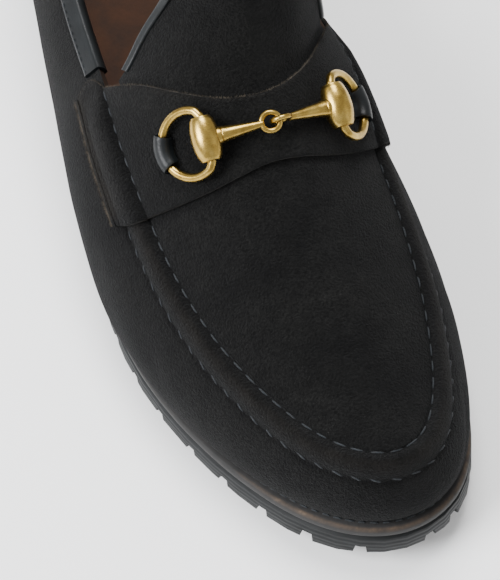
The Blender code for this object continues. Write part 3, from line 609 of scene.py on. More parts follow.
# %% [markdown]
# Suede is the flesh side of a split hide, buffed to a nap. It is matt, a little lighter at grazing angles,
# and darker in patches where it was stroked the other way. Hairs on the whole shoe would cost millions of
# faces, so the nap is a bump and a speckle, drawn at twice its real size to show in the render. The number
# that each corner carries rubs it brown (1), or darkens it toward black as painted shade in a valley (-1).

# %% Suede
# Sizes of the patterns, here and below: a metre over how many cells lie on it. They are 26, 5.3, 0.74 and
# 9.1 mm, with specks of dust 0.15 mm in radius, and 3.8 mm for the fibres' shades.
PATCH = 1.0 / 38
STROKE = 1.0 / 190
NAP = 1.0 / 1350
DUST_SPACING = 1.0 / 110
DUST_SHARE = 0.016
FIBRE_SHADE = 1.0 / 260


def brushed_suede(name, deep, light, worn):
    """Split leather, dyed and brushed: hardly any gloss, and a faint bloom from the standing fibres."""
    made, tree, shader, place = start(
        name,
        0.92,
        Sheen_Weight=0.05,
        Sheen_Roughness=0.5,
        Sheen_Tint=(0.72, 0.73, 0.75, 1),
        Specular_IOR_Level=0.08,
    )
    patches = noise(tree, place, PATCH, 2.0)
    strokes = noise(tree, place, STROKE, 4.0, 0.6)
    nap = noise(tree, place, NAP, 3.0, 0.75)
    colour = ramp(tree, patches, [(0.30, deep), (0.72, light)])
    colour = mix(tree, 0.5, colour, ramp(tree, strokes, [(0.3, "404040"), (0.7, "c8c8c8")]), "OVERLAY")
    colour = mix(tree, 0.85, colour, ramp(tree, nap, [(0.36, "1c1c1c"), (0.66, "f0f0f0")]), "OVERLAY")
    tone = tone_of(tree)
    rubbed = add(tree, "ShaderNodeMath", {0: tone}, operation="MULTIPLY", use_clamp=True)
    tree.links.new(ramp(tree, strokes, [(0.2, "505050"), (0.6, "ffffff")]), rubbed.inputs[1])
    colour = mix(tree, rubbed.outputs[0], colour, linear(worn))
    # Painted shade: a negative number darkens the colour toward near black
    valley = add(tree, "ShaderNodeMath", {0: tone}, operation="MULTIPLY", use_clamp=True)
    valley.inputs[1].default_value = -1.0
    colour = mix(tree, valley.outputs[0], colour, linear("060606"))
    dust = add(tree, "ShaderNodeTexVoronoi", {"Vector": place}, in_Scale=1 / DUST_SPACING)
    speck = add(tree, "ShaderNodeMath", {0: dust.outputs["Distance"]}, operation="LESS_THAN")
    speck.inputs[1].default_value = DUST_SHARE
    colour = mix(tree, speck.outputs[0], colour, linear("6a6967"))
    tree.links.new(colour, shader.inputs["Base Color"])
    bumps(tree, shader, [(strokes, 0.3, 0.6 * MM), (nap, 1.0, 1.2 * MM)])
    return made


def raw_fibre(name, code, tip, bloom):
    """Loose fibres of a cut edge: matt and dusty, from root to tip of two shades."""
    made, tree, shader, place = start(name, 0.95, Sheen_Weight=bloom, Specular_IOR_Level=0.1)
    shade = noise(tree, place, FIBRE_SHADE, 2.0)
    tree.links.new(ramp(tree, shade, [(0.35, code), (0.65, tip)]), shader.inputs["Base Color"])
    return made


SUEDE = brushed_suede("black-brown brushed suede", "0a0a0a", "141413", "302a23")
CUT_EDGE = raw_fibre("raw cut suede fibres", "231f1b", "4e473d", 0.12)
DARK_EDGE = raw_fibre("dyed cut suede fibres", "090909", "171512", 0.04)
print("suede and its cut edges:", SUEDE.name, "/", CUT_EDGE.name, "/", DARK_EDGE.name)


# %% [markdown]
# The trims are calf with a thin glaze, the lining the same without it, and the insole is vegetable-tanned
# leather, stiffer and coarser. Fine pores and soft clouds tell them apart from rubber or plastic.

# %% Smooth leathers
# 8.3 mm, 0.59 mm and 1.1 mm
CLOUD = 1.0 / 120
FINE_PORE = 1.0 / 1700
COARSE_PORE = 1.0 / 900


def smooth_leather(name, base, high, roughness, pore=FINE_PORE, depth=0.12 * MM, coat=0.0, shine=0.5):
    """Tanned leather with its grain side out: fine pores, faint creases and a soft gloss."""
    made, tree, shader, place = start(
        name, roughness, Coat_Weight=coat, Coat_Roughness=0.35, Specular_IOR_Level=shine
    )
    pores = add(tree, "ShaderNodeTexVoronoi", {"Vector": place}, in_Scale=1 / pore, feature="F1")
    cloud = noise(tree, place, CLOUD, 4.0)
    tree.links.new(ramp(tree, cloud, [(0.3, base), (0.75, high)]), shader.inputs["Base Color"])
    patch = add(tree, "ShaderNodeMapRange", {"Value": cloud})
    patch.inputs["To Min"].default_value = roughness - 0.08
    patch.inputs["To Max"].default_value = roughness + 0.12
    tree.links.new(patch.outputs[0], shader.inputs["Roughness"])
    bumps(tree, shader, [(cloud, 0.2, 0.5 * MM), (pores.outputs["Distance"], 0.3, depth)])
    return made


TRIM = smooth_leather("black glazed calf trim", "07090b", "0f1315", 0.42, coat=0.04, shine=0.24)
LINING = smooth_leather("dark brown calf lining", "1f1611", "2f2119", 0.66, shine=0.16)
SOCK = smooth_leather(
    "tan vegetable-tanned insole", "2c1c13", "452c1e", 0.68, COARSE_PORE, 0.2 * MM, shine=0.14
)
print("leathers:", TRIM.name, "/", LINING.name, "/", SOCK.name)


# %% [markdown]
# The sole's layers are leather stained black and moulded rubber; the thread is waxed and dull; the bit is
# cast brass that was brushed and has darkened in patches. The wear on the welt and the mould's lines
# follow the number that each corner carries, so both run round the shoe as they do on the real one.

# %% Thread, sole and metal
# The wave texture makes 1.6 turns on a length of one, so this is a ply every 0.7 mm of thread
TWIST_SCALE = 900.0
# In millimetres, as the depth that the rubber's corners carry
MOULD_LINE = 1.7
# 3.1, 4.8, 3.3 and 1.1 mm
EDGE_CLOUD = 1.0 / 320
RUBBER_CLOUD = 1.0 / 210
BRASS_CLOUD = 1.0 / 300
BRUSHING = 1.0 / 900


def twisted_thread(name, code):
    """Waxed thread, twisted, with painted shade between its plies."""
    made, tree, shader, place = start(name, 0.62, Sheen_Weight=0.1, Specular_IOR_Level=0.3)
    bands = {"in_Scale": TWIST_SCALE, "bands_direction": "DIAGONAL"}
    twist = add(tree, "ShaderNodeTexWave", {"Vector": place}, **bands)
    # Painted shade: the grooves between the plies are coloured near black
    dark = ramp(tree, twist.outputs["Fac"], [(0.0, "0c0f12"), (0.7, code)])
    tree.links.new(dark, shader.inputs["Base Color"])
    bumps(tree, shader, [(twist.outputs["Fac"], 0.5, 0.2 * MM)])
    return made


def worn_edge(name):
    """The welt and midsole: leather stained black, rubbed back to brown on its upper edge at the toe."""
    made, tree, shader, place = start(name, 0.74)
    cloud = noise(tree, place, EDGE_CLOUD, 5.0, 0.65)
    stained = ramp(tree, cloud, [(0.3, "0f0f0f"), (0.7, "1d1b1a")])
    brown = ramp(tree, cloud, [(0.25, "2c221a"), (0.6, "574431"), (0.8, "7d6850")])
    tone = tone_of(tree)
    patchy = {0: tone, 1: cloud, 2: tone}
    where = add(tree, "ShaderNodeMath", patchy, operation="MULTIPLY_ADD", use_clamp=True)
    colour = mix(tree, where.outputs[0], stained, brown)
    tree.links.new(colour, shader.inputs["Base Color"])
    bumps(tree, shader, [(cloud, 0.5, 0.5 * MM)])
    return made


def moulded_rubber(name):
    """Black sole rubber with the mould's lines along its side; tone is the depth in millimetres."""
    made, tree, shader, place = start(name, 0.6, Specular_IOR_Level=0.25)
    cloud = noise(tree, place, RUBBER_CLOUD, 5.0)
    tree.links.new(ramp(tree, cloud, [(0.3, "0d0f10"), (0.75, "181a1b")]), shader.inputs["Base Color"])
    turns = add(tree, "ShaderNodeMath", {0: tone_of(tree)}, operation="MULTIPLY")
    turns.inputs[1].default_value = math.tau / MOULD_LINE
    lines = add(tree, "ShaderNodeMath", {0: turns.outputs[0]}, operation="SINE")
    bumps(tree, shader, [(cloud, 0.3, 0.4 * MM), (lines.outputs[0], 0.35, 0.2 * MM)])
    return made


def aged_brass(name):
    """Cast brass, brushed and darkened in patches."""
    made, tree, shader, place = start(name, 0.3, Metallic=1.0)
    cloud = noise(tree, place, BRASS_CLOUD, 4.0)
    stretch = add(tree, "ShaderNodeMapping", {"Vector": place})
    stretch.inputs["Scale"].default_value = (1.0, 9.0, 1.0)
    brush = noise(tree, stretch.outputs[0], BRUSHING, 3.0, 0.7)
    colour = ramp(tree, cloud, [(0.25, "80662f"), (0.5, "a48845"), (0.8, "c3a860")])
    tree.links.new(colour, shader.inputs["Base Color"])
    rough = add(tree, "ShaderNodeMapRange", {"Value": brush})
    rough.inputs["To Min"].default_value = 0.20
    rough.inputs["To Max"].default_value = 0.36
    tree.links.new(rough.outputs[0], shader.inputs["Roughness"])
    bumps(tree, shader, [(brush, 0.12, 0.1 * MM)])
    return made


THREAD = twisted_thread("waxed blue-grey thread", "161c21")
DARK_THREAD = twisted_thread("waxed black thread", "1a1f23")
EDGE = worn_edge("black-stained leather welt, worn brown")
RUBBER = moulded_rubber("black moulded lug rubber")
BRASS = aged_brass("antique brushed brass")
print("thread, sole and metal:", THREAD.name, "/", EDGE.name, "/", RUBBER.name, "/", BRASS.name)


# %% [markdown]
# Stitches. A stitch is a short thread that dives into the leather at both ends. A row of them follows a
# path on the leather, each path point with the leather's own normal there. Length, place and height vary a
# little from stitch to stitch, as they do where thread sinks into soft suede. A curve with a bevel could
# draw them too, but a joined mesh of small tubes is lighter and follows the leather's own normals.

# %% Stitches and fibres
INNER_PITCH = 5.5 * MM
OUTER_PITCH = 5.8 * MM
# Each row: pitch, length, the thread's radius and how far it stands out
PLUG_STITCH = INNER_PITCH, 3.9 * MM, 0.27 * MM, 0.26 * MM
WALL_STITCH = OUTER_PITCH, 3.6 * MM, 0.27 * MM, 0.26 * MM
STRAP_STITCH = INNER_PITCH, 3.9 * MM, 0.27 * MM, 0.22 * MM
COLLAR_STITCH = 2.6 * MM, 1.9 * MM, 0.2 * MM, 0.16 * MM
WELT_STITCH = 3.6 * MM, 2.7 * MM, 0.36 * MM, 0.28 * MM
STITCH = (
    # share of the length, height, thickness
    (0.00, -1.0, 0.35),
    (0.12, 0.0, 0.8),
    (0.30, 0.8, 1.0),
    (0.50, 1.0, 1.0),
    (0.70, 0.8, 1.0),
    (0.88, 0.0, 0.8),
    (1.00, -1.0, 0.35),
)
# Thread and fibres are thinner than the leather's weld
FINE_WELD = 1e-7


def lengths_of(path):
    """How far along a path of (place, normal) each place is."""
    total = [0.0]
    for (here, _), (there, _) in zip(path, path[1:]):
        total.append(total[-1] + (there - here).length)
    return total


def sample(path, total, at):
    """Place and normal at a length along a path."""
    k = min(max(bisect.bisect_right(total, at) - 1, 0), len(path) - 2)
    share = (at - total[k]) / max(total[k + 1] - total[k], 1e-9)
    place = path[k][0].lerp(path[k + 1][0], share)
    normal = path[k][1].lerp(path[k + 1][1], share).normalized()
    return place, normal


def strand(mesh, points, normals, radii, sides=6):
    """An open tube along points, its ends drawn to a point by small radii."""
    rows = []
    for k, here in enumerate(points):
        along = (points[min(k + 1, len(points) - 1)] - points[max(k - 1, 0)]).normalized()
        side_way = along.cross(normals[k]).normalized()
        up = side_way.cross(along)
        row = []
        for j in range(sides + 1):
            angle = math.tau * j / sides
            row.append(here + (up * math.sin(angle) + side_way * math.cos(angle)) * radii[k])
        rows.append(row)
    sheet(mesh, rows)


def stitch_row(mesh, path, stitch, skew=0.0):
    """A running row of stitches, each diving at both ends. skew turns them across the row."""
    pitch, length, radius, lift = stitch
    total = lengths_of(path)
    count = int(total[-1] / pitch)
    chance = random.Random(count)
    for k in range(count):
        reach = length * chance.uniform(0.82, 1.06)
        rise = lift * chance.uniform(0.25, 1.05)
        start_at = (k + 0.5 + chance.uniform(-0.04, 0.04)) * pitch - reach / 2
        points, normals = [], []
        for share, height, _ in STITCH:
            at = min(max(start_at + share * reach, 0.0), total[-1])
            place, normal = sample(path, total, at)
            ahead = sample(path, total, min(at + 0.2 * MM, total[-1]))[0] - place
            across = ahead.cross(normal).normalized() if ahead.length else Vector()
            points.append(place + normal * rise * height + across * skew * (share - 0.5))
            normals.append(normal)
        strand(mesh, points, normals, [radius * width for _, _, width in STITCH])
    return count


def fibres(mesh, path, count, length, width, seed, lean=0.5, wild=0.8):
    """Short loose fibres along a cut edge, each a blade of two faces; a path's normals point out of it."""
    chance = random.Random(seed)
    total = lengths_of(path)
    for _ in range(count):
        here, way = sample(path, total, chance.random() * total[-1])
        turn_aside = Vector([chance.gauss(0, wild) for _ in range(3)])
        way = (way + turn_aside * lean).normalized()
        side_way = way.cross(Vector((chance.random(), chance.random(), 0.4))).normalized()
        reach = length * (0.35 + 0.65 * chance.random())
        bend = side_way.cross(way) * reach * chance.uniform(-0.35, 0.35)
        root = here + Vector([chance.gauss(0, 0.18 * MM) for _ in range(3)])
        middle = root + way * reach * 0.5
        tip = root + way * reach + bend
        half = side_way * width / 2
        blade = ((root, 1.0), (middle, 0.7), (tip, 0.1))
        sheet(mesh, [[place - half * thin, place + half * thin] for place, thin in blade])


# %% [markdown]
# The upper. The wall, the rolled apron seam and the plug are one skin here, as they look: the roll rises
# from a stitched valley round the plug and dies out in a second row of stitches on the wall.

# %% The skin of the upper
OUTER_ROW = 8.2 * MM
VALLEY = 0.75 * MM
SECOND_VALLEY = 0.42 * MM
SEWN_FROM = 0.60
WALL_ROWS = 22
ROLL_ROWS = 20
LINING_ROWS = 12
VAMP_COLUMNS = 56

# Soft creases on the walls: side, station, millimetres under the seam, half length along and half width
# down in millimetres, depth in millimetres (a ridge is negative), and lean
CREASES = (
    (1, 0.700, 24.0, 17.0, 4.0, 0.35, 0.35),
    (1, 0.775, 17.0, 13.0, 3.5, 0.28, 0.5),
    (1, 0.600, 30.0, 20.0, 6.0, 0.40, -0.25),
    (1, 0.430, 20.0, 26.0, 7.0, 0.45, 0.20),
    (-1, 0.690, 15.0, 16.0, 3.2, 0.40, 0.45),
    (-1, 0.745, 13.0, 13.0, 3.0, 0.35, 0.55),
    (-1, 0.930, 12.5, 8.0, 1.6, 0.40, 0.2),
    (-1, 0.955, 15.5, 9.0, 1.5, 0.35, 0.2),
    (-1, 0.420, 20.0, 24.0, 7.0, 0.40, -0.2),
)
# Soft creases across the vamp: station, half width along the foot in millimetres, depth, bow
FLEX = (
    (0.692, 4.5, 0.22, 0.012),
    (0.722, 5.0, 0.28, 0.016),
    (0.760, 5.5, 0.18, 0.018),
)


def hollow(distance, width):
    """A soft trough's depth across its width: 1 in the middle, fading to 0."""
    return math.exp(-((distance / width) ** 2))


def crease_depth(side, station, distance):
    """How deep the creases dent the wall at a distance down from the seam."""
    depth = 0.0
    for at_side, at, down, long, wide, deep, lean in CREASES:
        if side == at_side:
            along = (station - at) * LAST_LENGTH / MM
            across = distance / MM - down - lean * along
            depth += deep * MM * hollow(along, long) * hollow(across, wide)
    return depth


def flex_depth(station, across):
    """How deep the bends of the foot crease the vamp."""
    depth = 0.0
    for at, wide, deep, bow in FLEX:
        along = (station - at - bow * (2 * across - 1) ** 2) * LAST_LENGTH / MM
        depth += deep * MM * hollow(along, wide)
    return depth


def seam_front(station):
    """The apron's seam draws the leather in only where the strap leaves it bare."""
    return min(max((station - SEWN_FROM) / SEAM_FADE, 0.0), 1.0)


def skin(side, station, distance, run=0.0):
    """Outside of the wall at a distance down from the seam; run is how far round the seam it is."""
    share = share_below_rim(side, station, distance)
    lift = ridge(distance) * ridge_fade(station)
    pull = 0.5 + 0.5 * math.cos(math.tau * run / INNER_PITCH)
    second_pull = 0.5 + 0.5 * math.cos(math.tau * run / OUTER_PITCH)
    sewn = seam_front(station)
    lift -= sewn * VALLEY * hollow(distance, 1.1 * MM) * (0.75 + 0.25 * pull)
    lift -= sewn * SECOND_VALLEY * hollow(distance - OUTER_ROW, 1.2 * MM) * (0.6 + 0.4 * second_pull)
    lift -= crease_depth(side, station, distance) * min(distance / (4 * MM), 1.0)
    return rib(side, station, share) + rib_normal(side, station, share) * lift


def fine_stations():
    """Even in angle round the heel and the toe, as on the last's own outline."""
    rear = [(1 - math.cos(a)) / 2 for a in spread(0, turn(THROAT), 44)]
    middle = spread(THROAT, MIDDLE_END, 34)
    front = [(1 - math.cos(a)) / 2 for a in spread(turn(MIDDLE_END), math.pi, 64)]
    return rear[:-1] + middle[:-1] + front[:-1] + [1.0], len(rear) - 1


FINE, THROAT_AT = fine_stations()
ROUND = [(OUTER, station) for station in FINE] + [(INNER, station) for station in FINE[-2::-1]]
LOW = spread(0.0, 1.0, WALL_ROWS)
ROLL = [row * RIDGE_ZONE for row in spread(1.0, 0.0, ROLL_ROWS)]


def seam_runs():
    """How far round the seam each column is, from where it leaves the strap."""
    runs = [0.0]
    for (side, station), (next_side, next_station) in zip(ROUND, ROUND[1:]):
        runs.append(runs[-1] + (rib(next_side, next_station, 1) - rib(side, station, 1)).length)
    return runs


RUNS = seam_runs()
print("stations", len(FINE), "seam", round(RUNS[-1] / MM), "mm")


def fine_column(side, station, run):
    """A rib of the finished wall, from the feather line up over the roll to the seam."""
    foot = share_below_rim(side, station, RIDGE_ZONE)
    column = []
    for share in LOW[:-1]:
        point = rib(side, station, share * foot)
        height = (1 - share * foot) * smooth(RIM, 1, station) * SEAM_HEIGHT
        fade = min(share / 0.15, 1.0)
        dent = crease_depth(side, station, height) * fade
        column.append(point - rib_normal(side, station, share * foot) * dent)
    return column + [skin(side, station, distance, run) for distance in ROLL]


def throat_station(station, across, index):
    """The vamp's first rows bow toward the toe, as the throat does; the bow dies out under the strap."""
    fade = max(1 - index / 34, 0)
    return station + THROAT_BOW * fade * (1 - (2 * across - 1) ** 2)


def fine_vamp():
    """The vamp's outside with its seams' valleys and creases, and its lining under it."""
    shares = across_steps(VAMP_COLUMNS)
    flat = []
    rows = []
    for index, station in enumerate(FINE[THROAT_AT:]):
        sewn = seam_front(station)
        width = (rib(OUTER, station, 1) - rib(INNER, station, 1)).length
        row, under = [], []
        for across in shares:
            here = throat_station(station, across, index)
            near = min(across, 1 - across) * width
            point = instep(here, across)
            dip = sewn * VALLEY * hollow(near, 1.3 * MM) + flex_depth(here, across)
            row.append(point - Vector((0, 0.25, 0.85)) * dip)
            under.append(point - Vector((0, 0.3, 0.95)) * WALL_THICK)
        rows.append(row)
        flat.append(under)
    return rows, flat


# %% [markdown]
# A real upper is sewn from its walls and its plug, each lined before the shoe is lasted. Here they are four
# sheets that weld at the seam, because the seam's valley hides where they meet. The valleys are darkened
# with painted shade, and the top of the roll is a little rubbed.

# %% The upper
TOE_AT = len(FINE) - 1
THROAT_FAR = 2 * TOE_AT - THROAT_AT


def sew_to_walls(vamp, columns):
    """The vamp's edges take the ribs' upper ends, so that the two sheets weld into one skin."""
    for index, row in enumerate(vamp):
        row[0] = columns[THROAT_AT + index][-1]
        row[-1] = columns[THROAT_FAR - index][-1]
    vamp[-1] = [columns[TOE_AT][-1] for _ in vamp[-1]]


def wall_tones():
    """Painted shade darkens the wall along the feather line and in both valleys; the roll is a little
    rubbed.
    """
    tones = []
    for _, station in ROUND:
        # Painted shade along the feather line, where the wall meets the welt
        row = [-0.55 * hollow(share, 0.035) for share in LOW[:-1]]
        for distance in ROLL:
            # Painted shade in the seam's two valleys, and a little rubbing on the roll
            dark = 0.75 * hollow(distance, 0.9 * MM) + 0.45 * hollow(distance - OUTER_ROW, 1.0 * MM)
            worn = 0.10 * hollow(distance - 3.6 * MM, 2.2 * MM)
            row.append(seam_front(station) * (worn - dark))
        tones.append(row)
    return tones


def plug_tones():
    """Painted shade darkens the plug beside its seams."""
    tones = []
    for station in FINE[THROAT_AT:]:
        width = (rib(OUTER, station, 1) - rib(INNER, station, 1)).length
        nears = [min(share, 1 - share) * width for share in across_steps(VAMP_COLUMNS)]
        tones.append([-0.75 * seam_front(station) * hollow(near, 1.1 * MM) for near in nears])
    return tones


def all_lined(mesh, first):
    """Gives the faces from this one on the piece's second material."""
    mesh.faces.ensure_lookup_table()
    for face in mesh.faces[first:]:
        face.material_index = 1


def make_upper():
    columns = [fine_column(side, station, run) for (side, station), run in zip(ROUND, RUNS)]
    linings = []
    for side, station in ROUND:
        shares = spread(0.0, 1.0, LINING_ROWS)
        linings.append([rib(side, station, s) - rib_normal(side, station, s) * WALL_THICK for s in shares])
    vamp, inside = fine_vamp()
    sew_to_walls(vamp, columns)
    sew_to_walls(inside, linings)
    mesh = bmesh.new()
    sheet(mesh, columns, wall_tones())
    sheet(mesh, vamp, plug_tones())
    first = len(mesh.faces)
    sheet(mesh, linings)
    sheet(mesh, inside)
    sheet(mesh, [[column[0] for column in columns], [column[0] for column in linings]])
    rims = [[column[-1] for column in skin_of] for skin_of in (columns, linings)]
    sheet(mesh, [rim[: THROAT_AT + 1] for rim in rims])
    sheet(mesh, [rim[THROAT_FAR:] for rim in rims])
    sheet(mesh, [vamp[0], inside[0]])
    all_lined(mesh, first)
    piece("upper_suede", mesh, [SUEDE, LINING], ["upper"])


make_upper()


# %% [markdown]
# Two rows of stitches hold the apron. The inner one lies in the valley round the plug and starts where the
# strap's front edge crosses it. The outer one catches the foot of the roll.

# %% The apron's stitches
# Where each row comes out from under the strap, on the outer and the inner side
INNER_ROW_FROM = {OUTER: 0.655, INNER: 0.645}
OUTER_ROW_FROM = {OUTER: 0.640, INNER: 0.636}
SKEW = 0.9 * MM


def make_apron_stitches():
    inner, outer = [], []
    for (side, station), run in zip(ROUND, RUNS):
        if station >= INNER_ROW_FROM[side]:
            normal = (rib_normal(side, station, 0.97) + Vector((0, 0, 0.9))).normalized()
            inner.append((rib(side, station, 1) - normal * VALLEY * 0.62, normal))
        if station >= OUTER_ROW_FROM[side]:
            outer.append((skin(side, station, OUTER_ROW, run), rib_normal(side, station, 0.96)))
    mesh = bmesh.new()
    count = stitch_row(mesh, inner, PLUG_STITCH) + stitch_row(mesh, outer, WALL_STITCH, SKEW)
    print("apron stitches", count)
    piece("apron_stitches", mesh, [THREAD], weld=FINE_WELD)


make_apron_stitches()


# %% [markdown]
# The strap is cut from the same suede with raw edges. It lies over the plug, is caught in the apron's seam
# on both sides, and its wings run down over the roll to the wall.

# %% The strap
STRAP_ROWS = 34
STRAP_COLUMNS = 44
# The plug's width at the strap, to measure a distance from its seams
STRAP_SPAN = 62 * MM


def strap_places():
    """Places across the strap: below 0 is the outer wing, above 1 the inner one."""
    wing = [-1.0, -0.93, -0.86, -0.79] + [-row / SADDLE_WING for row in ROLL[:-1]]
    return wing + across_steps(STRAP_COLUMNS) + [1 - place for place in reversed(wing)]


def cover(station, place):
    """Point of the upper under the strap."""
    if place < 0:
        return wall(OUTER, station, -place * SADDLE_WING)
    if place > 1:
        return wall(INNER, station, (place - 1) * SADDLE_WING)
    return instep(station, place)


def strap_wear_and_darkening(place, column):
    """Brown on the wings' ends and along the rear edge; darker along the front edge."""
    worn = 0.22 * hollow(place + 1.0, 0.26) + 0.06 * hollow(place + 0.60, 0.25)
    worn += 0.12 * hollow(column, 1.0) - 0.5 * hollow(STRAP_ROWS - column, 1.2)
    return worn + 0.3 * hollow(place - 2.0, 0.06)


def make_strap():
    places = strap_places()
    rows = []
    for place in places:
        rear = smooth(SADDLE, 1, place, angle=plain)
        front = smooth(SADDLE, 2, place, angle=plain)
        rows.append([cover(station, place) for station in spread(rear, front, STRAP_ROWS)])
    normals = softened(grid_normals(rows), 8)
    waver = random.Random(11)
    lifts, tones = [], []
    for place in places:
        wave = 0.15 * MM * waver.uniform(-1, 1)
        seam = min(abs(place), abs(place - 1)) * (STRAP_SPAN if 0 <= place <= 1 else SADDLE_WING)
        height = STRAP_LIFT + SADDLE_THICK - 0.75 * MM * hollow(seam, 1.0 * MM)
        columns = range(STRAP_ROWS + 1)
        lifts.append([height + wave * hollow(min(c, STRAP_ROWS - c), 1.2) for c in columns])
        # Painted shade darkens the strap in the stitched valleys of its seams
        tones.append([strap_wear_and_darkening(place, c) - 0.7 * hollow(seam, 0.8 * MM) for c in columns])
    for r, c in edge_cells(rows):
        lifts[r][c] -= CUT_ROUND
    top = moved_by(rows, normals, lifts)
    bottom = moved_by(rows, normals, STRAP_LIFT)
    mesh = bmesh.new()
    sheet(mesh, top, tones)
    first = len(mesh.faces)
    sheet(mesh, bottom)
    cut_edges(mesh, top, bottom)
    all_lined(mesh, first)
    piece("strap_suede", mesh, [SUEDE, DARK_EDGE], ["saddle"])
    return places, top, bottom, normals


STRAP = make_strap()


# %% [markdown]
# Raw edges shed fibres. The wing's end is rubbed light, the rear edge shows a pale line of flesh fibres,
# and the front edge, still dyed, only a few.

# %% The strap's stitches and its fibres
def edge_path(top, bottom, cells, inward):
    """Places on a cut edge with the way out of it; inward is one step from the edge, as row and column."""
    path = []
    for r, c in cells:
        here = (top[r][c] + bottom[r][c]) / 2
        away = (top[r][c] - top[r + inward[0]][c + inward[1]]).normalized()
        up = (top[r][c] - bottom[r][c]).normalized()
        path.append((here.lerp(top[r][c], 0.6), (away * 0.8 + up * 0.6).normalized()))
    return path


def make_strap_details():
    places, top, bottom, normals = STRAP
    mesh = bmesh.new()
    count = 0
    for place in (0.0, 1.0):
        row = min(range(len(places)), key=lambda k: abs(places[k] - place))
        path = [(top[row][c], Vector(normals[row][c])) for c in range(STRAP_ROWS + 1)]
        count += stitch_row(mesh, path, STRAP_STITCH)
    print("strap stitches", count)
    piece("strap_stitches", mesh, [THREAD], weld=FINE_WELD)
    last = len(places) - 1
    middle = range(4, last - 3)
    ends = range(STRAP_ROWS + 1)
    wing = edge_path(top, bottom, [(0, c) for c in ends], (1, 0))
    far_wing = edge_path(top, bottom, [(last, c) for c in ends], (-1, 0))
    rear = edge_path(top, bottom, [(r, 0) for r in middle], (0, 1))
    front = edge_path(top, bottom, [(r, STRAP_ROWS) for r in middle], (0, -1))
    mesh = bmesh.new()
    fibres(mesh, wing, 1300, 1.2 * MM, 0.08 * MM, 3)
    fibres(mesh, rear, 1700, 0.75 * MM, 0.08 * MM, 5)
    fibres(mesh, far_wing, 300, 0.9 * MM, 0.09 * MM, 6)
    piece("pale_fibres", mesh, [CUT_EDGE], weld=FINE_WELD)
    mesh = bmesh.new()
    fibres(mesh, front, 1100, 0.6 * MM, 0.08 * MM, 8)
    piece("dyed_fibres", mesh, [DARK_EDGE], weld=FINE_WELD)


make_strap_details()


# %% [markdown]
# The tongue comes out from under the strap and stands up steeply against the instep. Its edge is bound
# with a narrow strip of black calf, folded over and sewn.

# %% The tongue and its binding
def tongue_line(length):
    steps = 16
    point = Vector((0, 0, 0))
    for k in range(steps):
        share = (k + 0.5) / steps * length / TONGUE_LENGTH
        slope = math.radians(smooth(TONGUE, 3, share, angle=plain))
        point += Vector((0, -math.cos(slope), math.sin(slope))) * (length / steps)
    return point


def droop_direction(slope):
    return Vector((0, math.sin(slope), math.cos(slope)))


def tongue_root(across, share):
    front = throat_station(THROAT, across, 0) - 1.5 * GAP / LAST_LENGTH
    rear = smooth(SADDLE, 1, across, angle=plain) - 0.006
    return instep(front + (rear - front) * share, across)


def tongue_grid(columns):
    """The tongue's outside: four rows under the strap, then along its curve, arched like the vamp."""
    outer, inner = TONGUE_MARGIN
    shares = [outer + (1 - outer - inner) * share for share in across_steps(columns)]
    crest = tongue_root(0.5, 1)
    depth = smooth(CROWN, 1, 0.53) * INSTEP_CROWN * math.hypot(1, CROWN_LEAN)
    root_slope = math.atan(CROWN_LEAN)
    rows = [[tongue_root(across, share) for across in shares] for share in (0.0, 0.25, 0.5, 0.75)]
    for along in TONGUE_ALONG:
        width = smooth(TONGUE, 1, along, angle=plain)
        droop = smooth(TONGUE, 2, along, angle=plain)
        slope = math.radians(smooth(TONGUE, 3, along, angle=plain))
        lean = root_slope + (slope - math.radians(TONGUE[0][3]))
        turned_in = Vector((smooth(TONGUE, 4, along, angle=plain) * BALL_WIDTH, 0, 0))
        held = 1 - along
        row = []
        for across in shares:
            root = tongue_root(across, 1)
            aside = Vector((root.x - crest.x, 0, 0))
            fall = depth * abs(2 * across - 1) ** CROWN_POWER
            arch = crest + aside - droop_direction(root_slope) * fall
            travel = along * TONGUE_LENGTH * (1 - TONGUE_BOW * (2 * across - 1) ** 2)
            point = crest + tongue_line(travel) + aside * width - turned_in
            point += (root - arch) * held - droop_direction(lean) * droop * fall
            row.append(point)
        rows.append(row)
    return rows


TONGUE_ALONG = spread(0.0, 0.7, 18) + spread(0.7, 1.0, 16)[1:]
TONGUE_COLUMNS = 40
# The grid's row where the binding comes out from under the strap
BOUND_FROM = 6


def close_ends(mesh):
    """Welds a section drawn along an edge and closes its two ends."""
    bmesh.ops.remove_doubles(mesh, verts=mesh.verts, dist=0.002 * MM)
    bmesh.ops.holes_fill(mesh, edges=[line for line in mesh.edges if line.is_boundary], sides=0)


def folded_strip(mesh, rim, leg, gap):
    """A binding's section, rounder than a bare fold, drawn along an edge."""
    rows = []
    for here, away, back, normal, over, under in rim:
        high = over + gap + BINDING_THICK
        low = -under - gap - BINDING_THICK
        middle, half = (high + low) / 2, (high - low) / 2
        reach = gap + BINDING_THICK
        profile = [(-leg, over * 0.6), (-leg, high - 0.45 * MM), (-leg + 0.3 * MM, high - 0.12 * MM)]
        profile += [(-leg + 0.8 * MM, high), (-leg * 0.4, high - 0.1 * MM), (-0.3 * reach, high)]
        for k in range(1, 12):
            angle = math.pi / 2 - math.pi * k / 12
            out = reach * math.cos(angle) ** 0.8
            profile.append((out, middle + half * math.sin(angle)))
        profile += [(-0.3 * reach, low), (-leg * 0.5, low), (-leg + 0.5 * MM, low), (-leg, low + 0.4 * MM)]
        profile.append((-leg, -under * 0.6))
        section = profile + profile[:1]
        rows.append([here + (away * x if x > 0 else back * -x) + normal * z for x, z in section])
    sheet(mesh, rows)
    close_ends(mesh)


